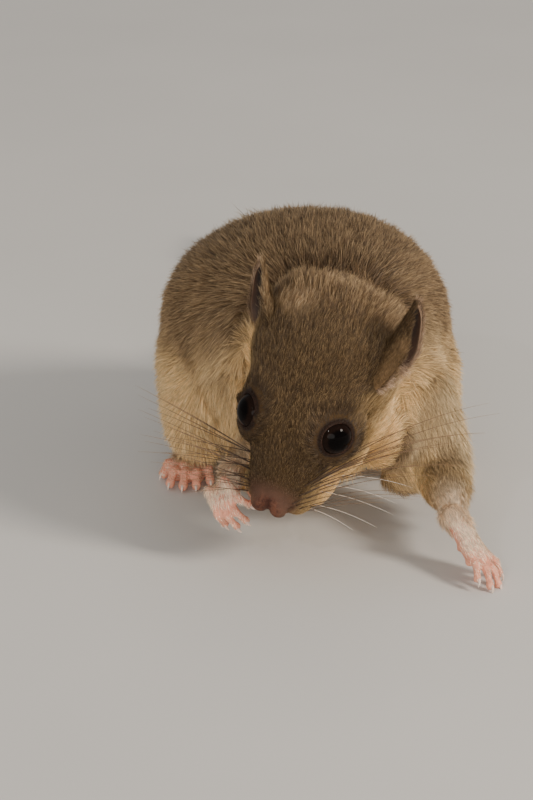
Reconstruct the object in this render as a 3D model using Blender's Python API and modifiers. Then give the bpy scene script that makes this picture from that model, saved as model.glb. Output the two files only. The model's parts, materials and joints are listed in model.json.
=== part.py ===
"""Edible dormouse, life size: a still model of an adult crouched on the floor.

It faces -Y and +X is its own left. The back is arched, the head hangs nose down and turned to
the animal's right, the left forefoot is set down in front, the right one is held up beside the
muzzle, both hind feet are flat beside the belly, and the bushy tail lies behind.
The solids give the outline out to the tips of the coat. Lengths are in millimetres in the tables
and are turned into metres where a mesh is made.
"""

import math
import random

import bmesh
import bpy
import numpy as np
from mathutils import Euler, Matrix, Vector

MM = 0.001
GAP = 0.3
SEED = 7

# Driving sizes
BODY_LENGTH = 89.0
BODY_WIDTH = 66.0
BODY_HEIGHT = 62.5
HEAD_LENGTH = 44.0
EYE_RADIUS = 4.5
EAR_LENGTH = 17.0
EAR_CUP = 2.2
EAR_THICKNESS = 0.9
TAIL_WIDTH = 36.0
TAIL_HEIGHT = 17.0

# Voxel sizes and smoothing of the fused flesh
BODY_VOXEL = 0.9
HEAD_VOXEL = 0.45
FOOT_VOXEL = 0.35
BODY_SMOOTHING = 26
HEAD_SMOOTHING = 6
FOOT_SMOOTHING = 2
FLAT_ANGLE = 3.0

# Triangles kept in the fused flesh
BODY_TRIANGLES = 2000
HEAD_TRIANGLES = 2400
FOREFOOT_TRIANGLES = 340
HINDFOOT_TRIANGLES = 430

# The head's place: the middle of the line between the ear roots, then pitch, roll and yaw
HEAD_PLACE = Vector((2.3, -23.5, 45.3))
HEAD_TURN = (65.0, 12.0, -22.0)

COLOURS = {
    "fur": (0.23, 0.18, 0.13, 1.0),
    "ear": (0.30, 0.20, 0.15, 1.0),
    "eye": (0.01, 0.008, 0.008, 1.0),
    "foot": (0.78, 0.52, 0.46, 1.0),
}


# Scene, collections and materials


def clear_scene():
    for obj in list(bpy.data.objects):
        bpy.data.objects.remove(obj)


def new_collection(name):
    made = bpy.data.collections.new(name)
    bpy.context.scene.collection.children.link(made)
    return made


def material(name, roughness):
    made = bpy.data.materials.new(name)
    made.use_nodes = True
    shader = made.node_tree.nodes["Principled BSDF"]
    shader.inputs["Base Color"].default_value = COLOURS[name]
    shader.inputs["Roughness"].default_value = roughness
    shader.inputs["Metallic"].default_value = 0.0
    return made


# Primitive meshes


def object_of(bm, name="piece"):
    """A helper object from a bmesh whose points are in millimetres."""
    bmesh.ops.recalc_face_normals(bm, faces=bm.faces)
    bmesh.ops.scale(bm, vec=(MM, MM, MM), verts=bm.verts)
    mesh = bpy.data.meshes.new(name)
    bm.to_mesh(mesh)
    bm.free()
    obj = bpy.data.objects.new(name, mesh)
    helpers.objects.link(obj)
    return obj


def ellipsoid(centre, radii, turn=(0, 0, 0), segments=24, rings=14, frame=None):
    """A closed ellipsoid. turn is in degrees, and frame is a matrix that carries it to the world."""
    bm = bmesh.new()
    bmesh.ops.create_uvsphere(bm, u_segments=segments, v_segments=rings, radius=1.0)
    matrix = Matrix.LocRotScale(
        Vector(centre), Euler([math.radians(a) for a in turn]), Vector(radii)
    )
    if frame is not None:
        matrix = frame @ matrix
    bmesh.ops.transform(bm, matrix=matrix, verts=bm.verts)
    return object_of(bm)


def ring_torus(centre, axis, major, minor, frame):
    """A torus about an axis, for an eyelid."""
    bm = bmesh.new()
    around, tube = 28, 10
    side = Vector(axis).orthogonal().normalized()
    across = Vector(axis).normalized().cross(side)
    rows = []
    for i in range(around):
        a = 2 * math.pi * i / around
        out = math.cos(a) * side + math.sin(a) * across
        row = []
        for j in range(tube):
            b = 2 * math.pi * j / tube
            offset = (major + minor * math.cos(b)) * out
            offset += minor * math.sin(b) * Vector(axis).normalized()
            row.append(bm.verts.new(frame @ (Vector(centre) + offset)))
        rows.append(row)
    for i in range(around):
        for j in range(tube):
            after, up = (i + 1) % around, (j + 1) % tube
            bm.faces.new((rows[i][j], rows[after][j], rows[after][up], rows[i][up]))
    return object_of(bm)


def smooth_rows(rows, steps):
    """Rows of numbers, with steps values between each two on a Catmull-Rom curve."""
    rows = np.array(rows, float)
    padded = np.vstack([2 * rows[0] - rows[1], rows, 2 * rows[-1] - rows[-2]])
    made = []
    for i in range(1, len(padded) - 2):
        a, b, c, d = padded[i - 1 : i + 3]
        for k in range(steps):
            t = k / steps
            made.append(
                0.5
                * (
                    2 * b
                    + (c - a) * t
                    + (2 * a - 5 * b + 4 * c - d) * t * t
                    + (3 * b - a - 3 * c + d) * t**3
                )
            )
    made.append(padded[-2])
    return np.array(made)


def loft(stations, steps=4, sides=32, power=2.0, frame=None):
    """A closed body of upright superelliptic sections. A station is (y, x, z, half width, half height)."""
    bm = bmesh.new()
    rings = []
    for y, x, z, width, height in smooth_rows(stations, steps):
        ring = []
        for k in range(sides):
            a = 2 * math.pi * k / sides
            c, s = math.cos(a), math.sin(a)
            point = Vector(
                (
                    x + width * math.copysign(abs(c) ** (2 / power), c),
                    y,
                    z + height * math.copysign(abs(s) ** (2 / power), s),
                )
            )
            ring.append(bm.verts.new(frame @ point if frame is not None else point))
        rings.append(ring)
    for low, high in zip(rings, rings[1:]):
        for k in range(sides):
            after = (k + 1) % sides
            bm.faces.new((low[k], low[after], high[after], high[k]))
    for ring in (rings[0], rings[-1]):
        bm.faces.new(ring)
    return object_of(bm)


def limb(points, radii, frame=None, resolution=3, steps=5):
    """A tapered tube with round ends through the points, from a curve with a bevel."""
    curve = bpy.data.curves.new("limb", "CURVE")
    curve.dimensions = "3D"
    curve.bevel_depth = MM
    curve.bevel_resolution = resolution
    curve.use_fill_caps = True
    rows = [(*p, r) for p, r in zip(points, radii)]
    line = smooth_rows(rows, steps)
    spline = curve.splines.new("POLY")
    spline.points.add(len(line) - 1)
    for point, row in zip(spline.points, line):
        place = Vector(row[:3])
        if frame is not None:
            place = frame @ place
        point.co = (*(place * MM), 1.0)
        point.radius = row[3]
    holder = bpy.data.objects.new("limb", curve)
    helpers.objects.link(holder)
    bpy.context.view_layer.update()
    graph = bpy.context.evaluated_depsgraph_get()
    mesh = bpy.data.meshes.new_from_object(holder.evaluated_get(graph))
    bpy.data.objects.remove(holder)
    bm = bmesh.new()
    bm.from_mesh(mesh)
    bmesh.ops.remove_doubles(bm, verts=bm.verts, dist=1e-6)
    bmesh.ops.scale(bm, vec=(1 / MM,) * 3, verts=bm.verts)
    return object_of(bm)


def end_balls(points, radii, frame=None):
    """Balls that round off the two ends of a limb."""
    made = []
    for place, radius in ((points[0], radii[0]), (points[-1], radii[-1])):
        centre = Vector(place)
        if frame is not None:
            centre = frame @ centre
        made.append(ellipsoid(centre, (radius,) * 3, segments=16, rings=10))
    return made


# Fusing and cutting


def evaluated_copy(obj, name):
    """The object's mesh with its modifiers applied, as a new helper object."""
    bpy.context.view_layer.update()
    graph = bpy.context.evaluated_depsgraph_get()
    mesh = bpy.data.meshes.new_from_object(obj.evaluated_get(graph))
    made = bpy.data.objects.new(name, mesh)
    made.matrix_world = obj.matrix_world
    helpers.objects.link(made)
    return made


def joined(pieces, name):
    bm = bmesh.new()
    for piece in pieces:
        bm.from_mesh(piece.data)
        bpy.data.objects.remove(piece)
    mesh = bpy.data.meshes.new(name)
    bm.to_mesh(mesh)
    bm.free()
    obj = bpy.data.objects.new(name, mesh)
    helpers.objects.link(obj)
    return obj


def modified(obj, kind, **settings):
    """Puts one modifier on an object and applies it."""
    modifier = obj.modifiers.new(kind.lower(), kind)
    for key, value in settings.items():
        setattr(modifier, key, value)
    made = evaluated_copy(obj, obj.name)
    old = obj.data
    obj.modifiers.clear()
    obj.data = made.data
    bpy.data.objects.remove(made)
    bpy.data.meshes.remove(old)
    return obj


def triangle_count(obj):
    obj.data.calc_loop_triangles()
    return len(obj.data.loop_triangles)


def fused(pieces, name, voxel, smoothing, triangles):
    """One smooth closed skin round overlapping pieces, thinned to about that many triangles."""
    body = joined(pieces, name)
    modified(body, "REMESH", mode="VOXEL", voxel_size=voxel * MM)
    modified(body, "SMOOTH", factor=0.5, iterations=smoothing)
    modified(body, "TRIANGULATE")
    share = min(1.0, triangles / triangle_count(body))
    modified(body, "DECIMATE", ratio=share)
    return largest_surface(body)


def largest_surface(obj):
    """Keeps only the largest closed surface of the mesh."""
    bm = bmesh.new()
    bm.from_mesh(obj.data)
    bm.verts.ensure_lookup_table()
    left, groups = set(bm.verts), []
    while left:
        seed = left.pop()
        group, front = {seed}, [seed]
        while front:
            for edge in front.pop().link_edges:
                for v in edge.verts:
                    if v in left:
                        left.discard(v)
                        group.add(v)
                        front.append(v)
        groups.append(group)

    def size(group):
        points = np.array([v.co for v in group])
        return float(np.prod(points.max(0) - points.min(0)))

    keep = max(groups, key=size)
    loose = [v for group in groups if group is not keep for v in group]
    bmesh.ops.delete(bm, geom=loose, context="VERTS")
    bm.to_mesh(obj.data)
    bm.free()
    return obj


def boolean(obj, other, operation):
    """Applies a Boolean with another object to obj."""
    return modified(obj, "BOOLEAN", operation=operation, object=other, solver="EXACT")


def grown(obj, by=GAP):
    """A copy of a mesh with its surface moved out."""
    made = evaluated_copy(obj, "grown")
    return modified(made, "DISPLACE", strength=by * MM, mid_level=0.0)


def cut_clear(obj, other):
    """Cuts obj back from another node, with the gap that touching nodes keep."""
    cutter = grown(other)
    boolean(obj, cutter, "DIFFERENCE")
    bpy.data.objects.remove(cutter)
    return largest_surface(obj)


def merge_flat(obj):
    """Merges faces that lie in one plane, which the cuts leave split."""
    modified(obj, "DECIMATE", decimate_type="DISSOLVE", angle_limit=math.radians(FLAT_ANGLE))
    return modified(obj, "TRIANGULATE")


def part_off(body, name, cell):
    """Takes the piece of the body inside a cell, and leaves the gap round it. cell(grow) makes the cell."""
    piece = evaluated_copy(body, name)
    inner, outer = cell(0.0), cell(GAP)
    boolean(piece, inner, "INTERSECT")
    boolean(body, outer, "DIFFERENCE")
    for cutter in (inner, outer):
        bpy.data.objects.remove(cutter)
    largest_surface(body)
    return largest_surface(piece)


def slab(low, high):
    """A box from its lowest to its highest corner."""
    low, high = Vector(low), Vector(high)
    bm = bmesh.new()
    bmesh.ops.create_cube(bm, size=1.0)
    matrix = Matrix.Translation((low + high) / 2) @ Matrix.Diagonal((*(high - low), 1.0))
    bmesh.ops.transform(bm, matrix=matrix, verts=bm.verts)
    return object_of(bm)


def above_floor(obj):
    """Cuts off what reaches under the floor, which leaves a small flat."""
    floor = slab((-300, -300, -60), (300, 300, 0))
    boolean(obj, floor, "DIFFERENCE")
    bpy.data.objects.remove(floor)
    return largest_surface(obj)


def half_space(point, normal, reach=60.0):
    """A big block on the side of a plane that its normal points to."""
    z = Vector(normal).normalized()
    turn = z.to_track_quat("Z", "Y").to_matrix().to_4x4()
    bm = bmesh.new()
    bmesh.ops.create_cube(bm, size=2 * reach)
    bmesh.ops.translate(bm, vec=(0, 0, reach), verts=bm.verts)
    bmesh.ops.transform(bm, matrix=Matrix.Translation(point) @ turn, verts=bm.verts)
    return object_of(bm)


# The body's measures

# Torso sections: y, x, z, half width, half height
TORSO = [
    (-18.0, 3.0, 37.0, 12.0, 13.0),
    (-10.0, 2.5, 35.5, 20.5, 20.2),
    (0.0, 1.5, 35.3, 26.5, 25.0),
    (12.0, 0.5, 34.2, BODY_WIDTH * 0.465, BODY_HEIGHT * 0.453),
    (25.0, 0.0, 32.4, BODY_WIDTH * 0.5, BODY_HEIGHT * 0.48),
    (38.0, 0.0, 29.9, BODY_WIDTH * 0.49, BODY_HEIGHT * 0.452),
    (50.0, -0.5, 25.6, BODY_WIDTH * 0.42, BODY_HEIGHT * 0.375),
    (60.0, -1.0, 19.6, 20.0, 16.0),
    (68.0, -1.5, 12.8, 11.2, 10.2),
    (BODY_LENGTH - 14.0, -2.0, 10.2, 7.6, 7.4),
]

# Head sections in the head's own frame: y (the nose is at -Y), x, z, half width, half height
NOSE_Y = -35.0
HEAD = [
    (NOSE_Y + 0.9, 0.0, -0.2, 2.4, 2.0),
    (-33.2, 0.0, -0.8, 4.2, 3.6),
    (-31.6, 0.0, -1.3, 5.4, 5.0),
    (-29.0, 0.0, -1.6, 6.4, 6.3),
    (-26.0, 0.0, -1.6, 7.1, 7.6),
    (-22.5, 0.0, -1.3, 8.2, 8.8),
    (-18.5, 0.0, -0.8, 9.7, 9.8),
    (-14.0, 0.0, -0.3, 11.6, 10.7),
    (-8.5, 0.0, 0.0, 14.0, 11.7),
    (-3.0, 0.0, 0.1, 15.6, 12.4),
    (3.0, 0.0, 0.0, 15.7, 12.7),
    (9.0, 0.0, -1.0, 14.6, 12.2),
    (HEAD_LENGTH - 30.0, 0.0, -2.0, 12.0, 11.0),
]

EYE_CENTRE = Vector((8.2, -14.9, 4.3))
EYE_AXIS = Vector((0.72, -0.30, 0.62)).normalized()
LID_OFFSET = 2.1
LID_RADIUS = 4.1
LID_THICKNESS = 0.7

# The pinna: its root centre, the way it points and the way its cup opens, in the head's frame
EAR_ROOT = Vector((14.0, 0.2, 4.0))
EAR_AXIS = Vector((0.25, 0.87, 0.43)).normalized()
EAR_OPENING = Vector((0.88, -0.32, 0.34))
# Along the pinna from root to tip: share of the length, half width, half angle of the cup
EAR_ROWS = [
    (0.00, 3.0, 120),
    (0.10, 3.7, 115),
    (0.22, 4.8, 98),
    (0.36, 5.9, 80),
    (0.50, 6.6, 66),
    (0.64, 6.7, 56),
    (0.77, 6.1, 48),
    (0.88, 4.9, 42),
    (0.95, 3.4, 38),
    (1.00, 1.5, 35),
]

# Forelegs: shoulder, elbow, wrist, knuckles and fingertips, then the way the back of the hand
# faces, how far the fingertips bend down and how high their middle joints arch
LEFT_ARM = {
    "shoulder": Vector((20.0, -4.0, 31.0)),
    "elbow": Vector((27.2, -10.0, 14.8)),
    "wrist": Vector((30.6, -31.2, 9.6)),
    "knuckle": Vector((34.6, -37.0, 4.9)),
    "tip": Vector((38.2, -42.6, 1.6)),
    "up": Vector((0.25, 0.1, 1.0)),
    "curl": 0.9,
    "arch": 0.5,
}
RIGHT_ARM = {
    "shoulder": Vector((-11.0, -4.0, 29.0)),
    "elbow": Vector((-12.0, -7.0, 15.5)),
    "wrist": Vector((-17.2, -25.0, 17.0)),
    "knuckle": Vector((-18.2, -30.2, 14.6)),
    "tip": Vector((-15.6, -33.0, 10.6)),
    "up": Vector((-0.35, -1.0, 0.3)),
    "curl": 1.8,
    "arch": 0.7,
}
ARM_RADII = (11.0, 8.2, 4.9, 2.4)

# Hind legs: heel, toe line and how far the toes spread
HIND_FEET = {
    "left": {"side": 1, "heel": Vector((24.5, 35.0, 3.2)), "toe": Vector((27.5, 14.5, 2.6))},
    "right": {"side": -1, "heel": Vector((-24.5, 35.0, 3.2)), "toe": Vector((-27.5, 14.5, 2.6))},
}

# Fingers and toes: place across the foot, set-back, splay and length. The thumb side comes first.
# A finger's length is a share of the longest.
FORE_DIGITS = [
    (-2.9, 1.0, -0.42, 0.72),
    (-1.0, 0.0, -0.10, 0.98),
    (1.0, 0.0, 0.06, 1.0),
    (2.7, 0.9, 0.24, 0.8),
]
HIND_DIGITS = [
    (-3.7, 3.0, -0.42, 4.6),
    (-2.2, 0.2, -0.14, 6.6),
    (0.0, 0.0, 0.0, 7.4),
    (2.1, 0.3, 0.12, 7.0),
    (3.8, 1.8, 0.32, 5.6),
]
# Pads of the hind sole: place across, set-back from the toe line and size
SOLE_PADS = [
    (-2.4, -0.4, 1.5),
    (0.0, -1.0, 1.5),
    (2.3, -0.4, 1.5),
    (-3.4, 3.6, 1.5),
    (3.2, 3.4, 1.5),
    (-1.6, 9.0, 1.8),
    (1.2, 12.0, 1.8),
    (0.0, 19.5, 2.2),
]
FINGER_RADIUS = 0.95
TOE_RADIUS = 1.15
CLAW_LENGTH = 1.7

THIGH_CENTRE = Vector((24.3, 23.0, 21.5))
THIGH_RADII = Vector((10.8, 20.5, 19.5))

# Tail line: x, y, z, bush half width, bush half height, core half width, core half height
TAIL = [
    (-2.0, 60.0, 14.0, 13.0, 12.0, 12.6, 12.0),
    (-1.8, 71.0, 10.2, 10.0, 9.2, 9.0, 8.2),
    (0.8, 84.0, 8.5, 12.6, 8.6, 6.2, 4.3),
    (4.6, 98.0, 8.2, 15.8, 8.6, 7.6, 4.3),
    (7.6, 113.0, 8.2, 17.6, TAIL_HEIGHT / 2, 8.4, 4.2),
    (7.8, 128.0, 8.2, TAIL_WIDTH / 2, TAIL_HEIGHT / 2, 8.6, 4.2),
    (4.4, 143.0, 8.2, 16.6, TAIL_HEIGHT / 2, 7.8, 4.2),
    (-1.0, 156.0, 7.8, 12.6, 8.0, 5.6, 3.8),
    (-5.6, 166.0, 6.8, 7.8, 6.6, 3.2, 2.6),
    (-8.4, 173.0, 6.0, 3.2, 3.4, 1.2, 1.2),
]
TAIL_START = 8.0
TAIL_END = 175.0

# The tail's locks: rows along it, their length, width and thickness, and how each tapers
LOCK_ROWS = 5
LOCK_START = 71.0
LOCK_END = 152.0
LOCK_LENGTH = 34.0
LOCK_WIDTH = 11.6
LOCK_THICKNESS = 1.5
LOCK_SHAPE = [(0.0, 0.75, 1.0), (0.42, 1.0, 1.0), (0.8, 0.62, 0.75)]
# How far the locks' flat sides turn outwards rather than up, as the hair is parted to both sides
LOCK_LIE = Vector((0.3, 0, 1))
# Round one side, from below to above: angle of the root and of the tip, and relative width
LOCK_ANGLES = [(-58, -46, 1.0), (12, 14, 1.08), (64, 54, 0.96)]
# The brush at the end: angle round the tail and how far each lock ends before the tip
END_LOCKS = [(0, 0.0), (180, 2.5), (90, 1.5), (-60, 4.0)]

# Nodes cut back from a neighbour that was shaped on its own
CLEAR_CUTS = [
    ("upper_foreleg_right", "head"),
    ("lower_foreleg_right", "head"),
    ("forefoot_right", "head"),
    ("upper_foreleg_left", "head"),
    ("torso", "hindfoot_left"),
    ("torso", "hindfoot_right"),
    ("shank_left", "hindfoot_left"),
    ("shank_right", "hindfoot_right"),
]

head_frame = Matrix.Translation(HEAD_PLACE) @ Euler(
    [math.radians(a) for a in HEAD_TURN]
).to_matrix().to_4x4()


def mirrored(vector, side):
    return Vector((vector.x * side, vector.y, vector.z))


# Flesh


def head_pieces(face=True):
    """The head's overlapping forms in its own frame. Without the face they are only its back part."""
    pieces = [loft(HEAD, power=2.1, frame=head_frame)]
    forms = []
    for side in (-1, 1):
        forms += [
            ((10.0 * side, -2.0, -4.2), (6.4, 10.5, 7.8)),
            ((7.0 * side, -13.5, -7.5), (7.6, 11.5, 6.4)),
            ((11.2 * side, 3.0, 4.6), (3.9, 4.6, 4.2)),
        ]
        if face:
            forms += [
                ((1.7 * side, NOSE_Y + 1.1, -0.5), (1.9, 1.7, 2.0)),
                ((3.6 * side, -28.2, -3.4), (3.9, 5.6, 4.4)),
                ((4.6 * side, -23.5, -8.4), (5.6, 8.5, 4.5)),
                ((7.6 * side, -14.4, 3.6), (4.3, 5.3, 4.6)),
            ]
    if face:
        forms.append(((0.0, -25.0, -8.2), (4.6, 7.2, 3.4)))
    for centre, radii in forms:
        pieces.append(ellipsoid(centre, radii, frame=head_frame))
    for side in (-1, 1) if face else ():
        axis = mirrored(EYE_AXIS, side)
        centre = mirrored(EYE_CENTRE, side) + axis * LID_OFFSET
        pieces.append(ring_torus(centre, axis, LID_RADIUS, LID_THICKNESS, head_frame))
    return pieces


def neck_pieces():
    """The short, thick neck, which arches from the back of the head down to the shoulders."""
    line = [head_frame @ Vector((0, 5, -1.5)), Vector((4.5, -15, 46)), Vector((3, -3, 40))]
    radii = [12.5, 14.6, 19.0]
    return [limb(line, radii), *end_balls(line, radii)]


def arm_pieces(arm):
    middle = (arm["elbow"] + arm["wrist"]) / 2
    line = [arm["shoulder"], arm["elbow"], middle, arm["wrist"]]
    return [limb(line, ARM_RADII), *end_balls(line, ARM_RADII)]


def hind_pieces(foot):
    side = foot["side"]
    knee = Vector((26.0 * side, 12.0, 15.0))
    shank = [knee, foot["heel"] + Vector((0, 0, 3.5))]
    radii = [8.0, 4.2]
    return [
        ellipsoid(mirrored(THIGH_CENTRE, side), THIGH_RADII, turn=(12, 0, 6 * side)),
        limb([shank[0], (shank[0] + shank[1]) / 2, shank[1]], [8.0, 6.0, 4.2]),
        *end_balls(shank, radii),
    ]


def body_flesh():
    """The whole body in one skin, with the head in it so that the neck runs on smoothly."""
    pieces = [loft(TORSO, power=2.15)]
    pieces += head_pieces(face=False)
    pieces += neck_pieces()
    for arm in (LEFT_ARM, RIGHT_ARM):
        pieces += arm_pieces(arm)
    for foot in HIND_FEET.values():
        pieces += hind_pieces(foot)
    return fused(pieces, "torso", BODY_VOXEL, BODY_SMOOTHING, BODY_TRIANGLES)


# Head details


def head_cell(grow):
    return ellipsoid(
        (0, -12.5, -1.0), (22.0 + grow, 25.5 + grow, 21.0 + grow), frame=head_frame,
        segments=24, rings=14,
    )


def mouth_line():
    """A thin tube along the closed mouth, from under the nose back along both lips."""
    half = [
        (0.0, -32.6, -4.6),
        (2.0, -32.2, -5.6),
        (4.2, -30.6, -7.0),
        (5.8, -27.8, -7.8),
        (7.0, -24.4, -7.8),
    ]
    line = [Vector((-x, y, z)) for x, y, z in reversed(half[1:])] + [Vector(p) for p in half]
    radii = [0.35, 0.5, 0.55, 0.6, 0.6, 0.6, 0.55, 0.5, 0.35]
    return limb(line, radii, frame=head_frame, resolution=1, steps=2)


def nose_cuts():
    """The nostrils and the groove of the upper lip."""
    cuts = []
    for side in (-1, 1):
        line = [
            Vector((1.7 * side, NOSE_Y - 0.9, 0.1)),
            Vector((2.4 * side, NOSE_Y + 0.3, -0.1)),
            Vector((3.5 * side, NOSE_Y + 1.0, 0.5)),
        ]
        cuts.append(limb(line, [0.55, 0.6, 0.35], frame=head_frame, resolution=1, steps=2))
    groove = [
        Vector((0, NOSE_Y + 0.2, 1.0)),
        Vector((0, NOSE_Y - 0.2, -1.4)),
        Vector((0, NOSE_Y + 1.6, -4.4)),
    ]
    cuts.append(limb(groove, [0.4, 0.45, 0.4], frame=head_frame, resolution=1, steps=2))
    return cuts


def make_head():
    pieces = head_pieces() + neck_pieces()
    head = fused(pieces, "head", HEAD_VOXEL, HEAD_SMOOTHING, HEAD_TRIANGLES)
    whole = grown(head)
    cell = head_cell(0.0)
    boolean(head, cell, "INTERSECT")
    bpy.data.objects.remove(cell)
    for cutter in (mouth_line(), *nose_cuts()):
        boolean(head, cutter, "DIFFERENCE")
        bpy.data.objects.remove(cutter)
    for side in (-1, 1):
        socket = ellipsoid(
            mirrored(EYE_CENTRE, side), (EYE_RADIUS + GAP,) * 3, frame=head_frame,
            segments=18, rings=10,
        )
        boolean(head, socket, "DIFFERENCE")
        bpy.data.objects.remove(socket)
    return largest_surface(head), whole


def make_eye(name, side):
    eye = ellipsoid(
        mirrored(EYE_CENTRE, side), (EYE_RADIUS,) * 3, frame=head_frame, segments=16, rings=9
    )
    eye.name = name
    return eye


def ear_sheet(side):
    """The cupped pinna as a rolled sheet: nearly a tube at the root, open above, round at the tip."""
    axis = mirrored(EAR_AXIS, side)
    opening = mirrored(EAR_OPENING, side)
    opening = (opening - axis * opening.dot(axis)).normalized()
    across = axis.cross(opening)
    root = mirrored(EAR_ROOT, side) - axis * 2.0
    turns = 9
    bm = bmesh.new()
    grid = []
    for u, half, angle in EAR_ROWS:
        roll = math.radians(angle)
        radius = half / min(roll, math.pi / 2)
        depth = 1.2 + EAR_CUP * u * (1.6 - u)
        centre = root + axis * (u * (EAR_LENGTH + 2.0))
        row = []
        for j in range(turns):
            a = roll * (-1 + 2 * j / (turns - 1))
            forward = radius * (1 - math.cos(a)) - depth
            place = centre + across * (radius * math.sin(a)) + opening * forward
            row.append(bm.verts.new(head_frame @ place))
        grid.append(row)
    for low, high in zip(grid, grid[1:]):
        for j in range(turns - 1):
            bm.faces.new((low[j], low[j + 1], high[j + 1], high[j]))
    bmesh.ops.triangulate(bm, faces=bm.faces)
    return object_of(bm, "ear")


def make_ear(name, side, flesh):
    """The ear, cut off where it would enter the head or the nape."""
    ear = ear_sheet(side)
    ear.name = name
    modified(ear, "SOLIDIFY", thickness=EAR_THICKNESS * MM, offset=0.0)
    boolean(ear, flesh, "DIFFERENCE")
    return largest_surface(ear)


# Feet


def claw(root, direction, down, length, radius=0.5):
    """A small hooked claw: a curved cone that starts inside the toe."""
    direction, down = direction.normalized(), down.normalized()
    line = [(-0.9, 0.0, 1.0), (0.0, 0.0, 0.95), (0.45, 0.10, 0.7), (0.8, 0.26, 0.4)]
    across = direction.cross(down)
    bm = bmesh.new()
    rings = []
    for along, drop, share in line:
        centre = root + direction * (along * length) + down * (drop * length)
        ring = []
        for k in range(6):
            a = 2 * math.pi * k / 6
            offset = across * (0.75 * math.cos(a)) + down * math.sin(a)
            ring.append(bm.verts.new(centre + offset * (radius * share)))
        rings.append(ring)
    point = bm.verts.new(root + direction * length + down * (0.42 * length))
    for low, high in zip(rings, rings[1:]):
        for k in range(6):
            bm.faces.new((low[k], low[(k + 1) % 6], high[(k + 1) % 6], high[k]))
    for k in range(6):
        bm.faces.new((rings[-1][k], rings[-1][(k + 1) % 6], point))
    bm.faces.new(rings[0])
    return object_of(bm)


def digits(knuckle, forward, across, up, rows, radius, drop, arch):
    """Fingers or toes from the row of knuckles. Returns the flesh and the claws.

    A row is the knuckle's place across the foot, its set-back, the splay and the length."""
    flesh, claws = [], []
    for offset, back, splay, length in rows:
        root = knuckle + across * offset - forward * back
        way = forward * math.cos(splay) + across * math.sin(splay)
        line = [
            root - way * 3.2 - up * 0.2,
            root + up * 0.1,
            root + way * (0.55 * length) + up * arch,
            root + way * length - up * drop,
        ]
        radii = [radius * 1.15, radius * 1.1, radius * 0.95, radius * 1.02]
        flesh.append(limb(line, radii, resolution=2))
        flesh += end_balls(line, radii)
        claws.append(claw(line[-1] + way * radius * 0.75 + up * 0.25, way, -up, CLAW_LENGTH))
    return flesh, claws


def with_claws(foot, claws):
    for one in claws:
        boolean(foot, one, "UNION")
        bpy.data.objects.remove(one)
    return largest_surface(foot)


def make_forefoot(name, arm):
    """A forefoot with four fingers, from the wrist to the claws."""
    forward = (arm["tip"] - arm["knuckle"]).normalized()
    across = forward.cross(arm["up"]).normalized()
    up = across.cross(forward)
    palm = arm["knuckle"] - arm["wrist"]
    back = arm["wrist"] - palm.normalized() * 2.5
    pieces = [limb([back, arm["wrist"], arm["knuckle"]], [2.5, 2.2, 2.0])]
    pieces.append(ellipsoid(back, (2.5, 2.5, 2.5), segments=16, rings=10))
    for share in (-1.3, 0.0, 1.3):
        line = [arm["wrist"], arm["knuckle"] + across * share - up * 0.3]
        middle = (line[0] + line[1]) / 2
        pieces.append(limb([line[0], middle, line[1]], [2.0, 2.0, 1.7], resolution=2))
        pieces.append(ellipsoid(line[1], (1.8, 1.8, 1.7), segments=14, rings=8))
    length = (arm["tip"] - arm["knuckle"]).length
    rows = [(o, b, a, f * length) for o, b, a, f in FORE_DIGITS]
    flesh, claws = digits(
        arm["knuckle"], forward, across, up, rows, FINGER_RADIUS, arm["curl"], arm["arch"]
    )
    foot = fused(pieces + flesh, name, FOOT_VOXEL, FOOT_SMOOTHING, FOREFOOT_TRIANGLES)
    return above_floor(with_claws(foot, claws))


def cut_wrist(forefoot, foreleg, arm):
    """Parts the forefoot and the lower foreleg along one plane at the wrist."""
    way = (arm["knuckle"] - arm["elbow"]).normalized()
    for obj, normal in ((forefoot, -way), (foreleg, way)):
        block = half_space(arm["wrist"] - normal * (GAP / 2), normal, reach=30.0)
        boolean(obj, block, "DIFFERENCE")
        bpy.data.objects.remove(block)
        largest_surface(obj)


def make_hindfoot(name, spec):
    """A long hind foot with five toes and padded soles, flat on the floor."""
    heel, toe, side = spec["heel"], spec["toe"], spec["side"]
    forward = (toe - heel).normalized()
    forward = Vector((forward.x, forward.y, 0)).normalized()
    across = Vector((-forward.y, forward.x, 0)) * -side
    up = Vector((0, 0, 1))
    middle = (heel + toe) / 2
    pieces = [limb([heel, middle + up * 0.5, toe], [3.0, 3.2, 2.7])]
    pieces.append(ellipsoid(heel, (3.2, 3.6, 3.1)))
    for share, radius in ((-2.6, 2.0), (0.0, 2.3), (2.6, 2.0)):
        line = [middle + across * share * 0.4, toe + across * share]
        pieces.append(limb([line[0], (line[0] + line[1]) / 2, line[1]], [2.4, 2.3, radius]))
        pieces.append(ellipsoid(line[1], (radius, radius, radius), segments=16, rings=10))
    for offset, back, size in SOLE_PADS:
        centre = toe + across * offset - forward * back
        centre.z = size * 0.62
        pieces.append(ellipsoid(centre, (size, size * 1.2, size * 0.85), segments=14, rings=8))
    flesh, claws = digits(toe, forward, across, up, HIND_DIGITS, TOE_RADIUS, 1.0, 0.7)
    foot = fused(pieces + flesh, name, FOOT_VOXEL, FOOT_SMOOTHING, HINDFOOT_TRIANGLES)
    return above_floor(with_claws(foot, claws))


# Parting the body


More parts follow.
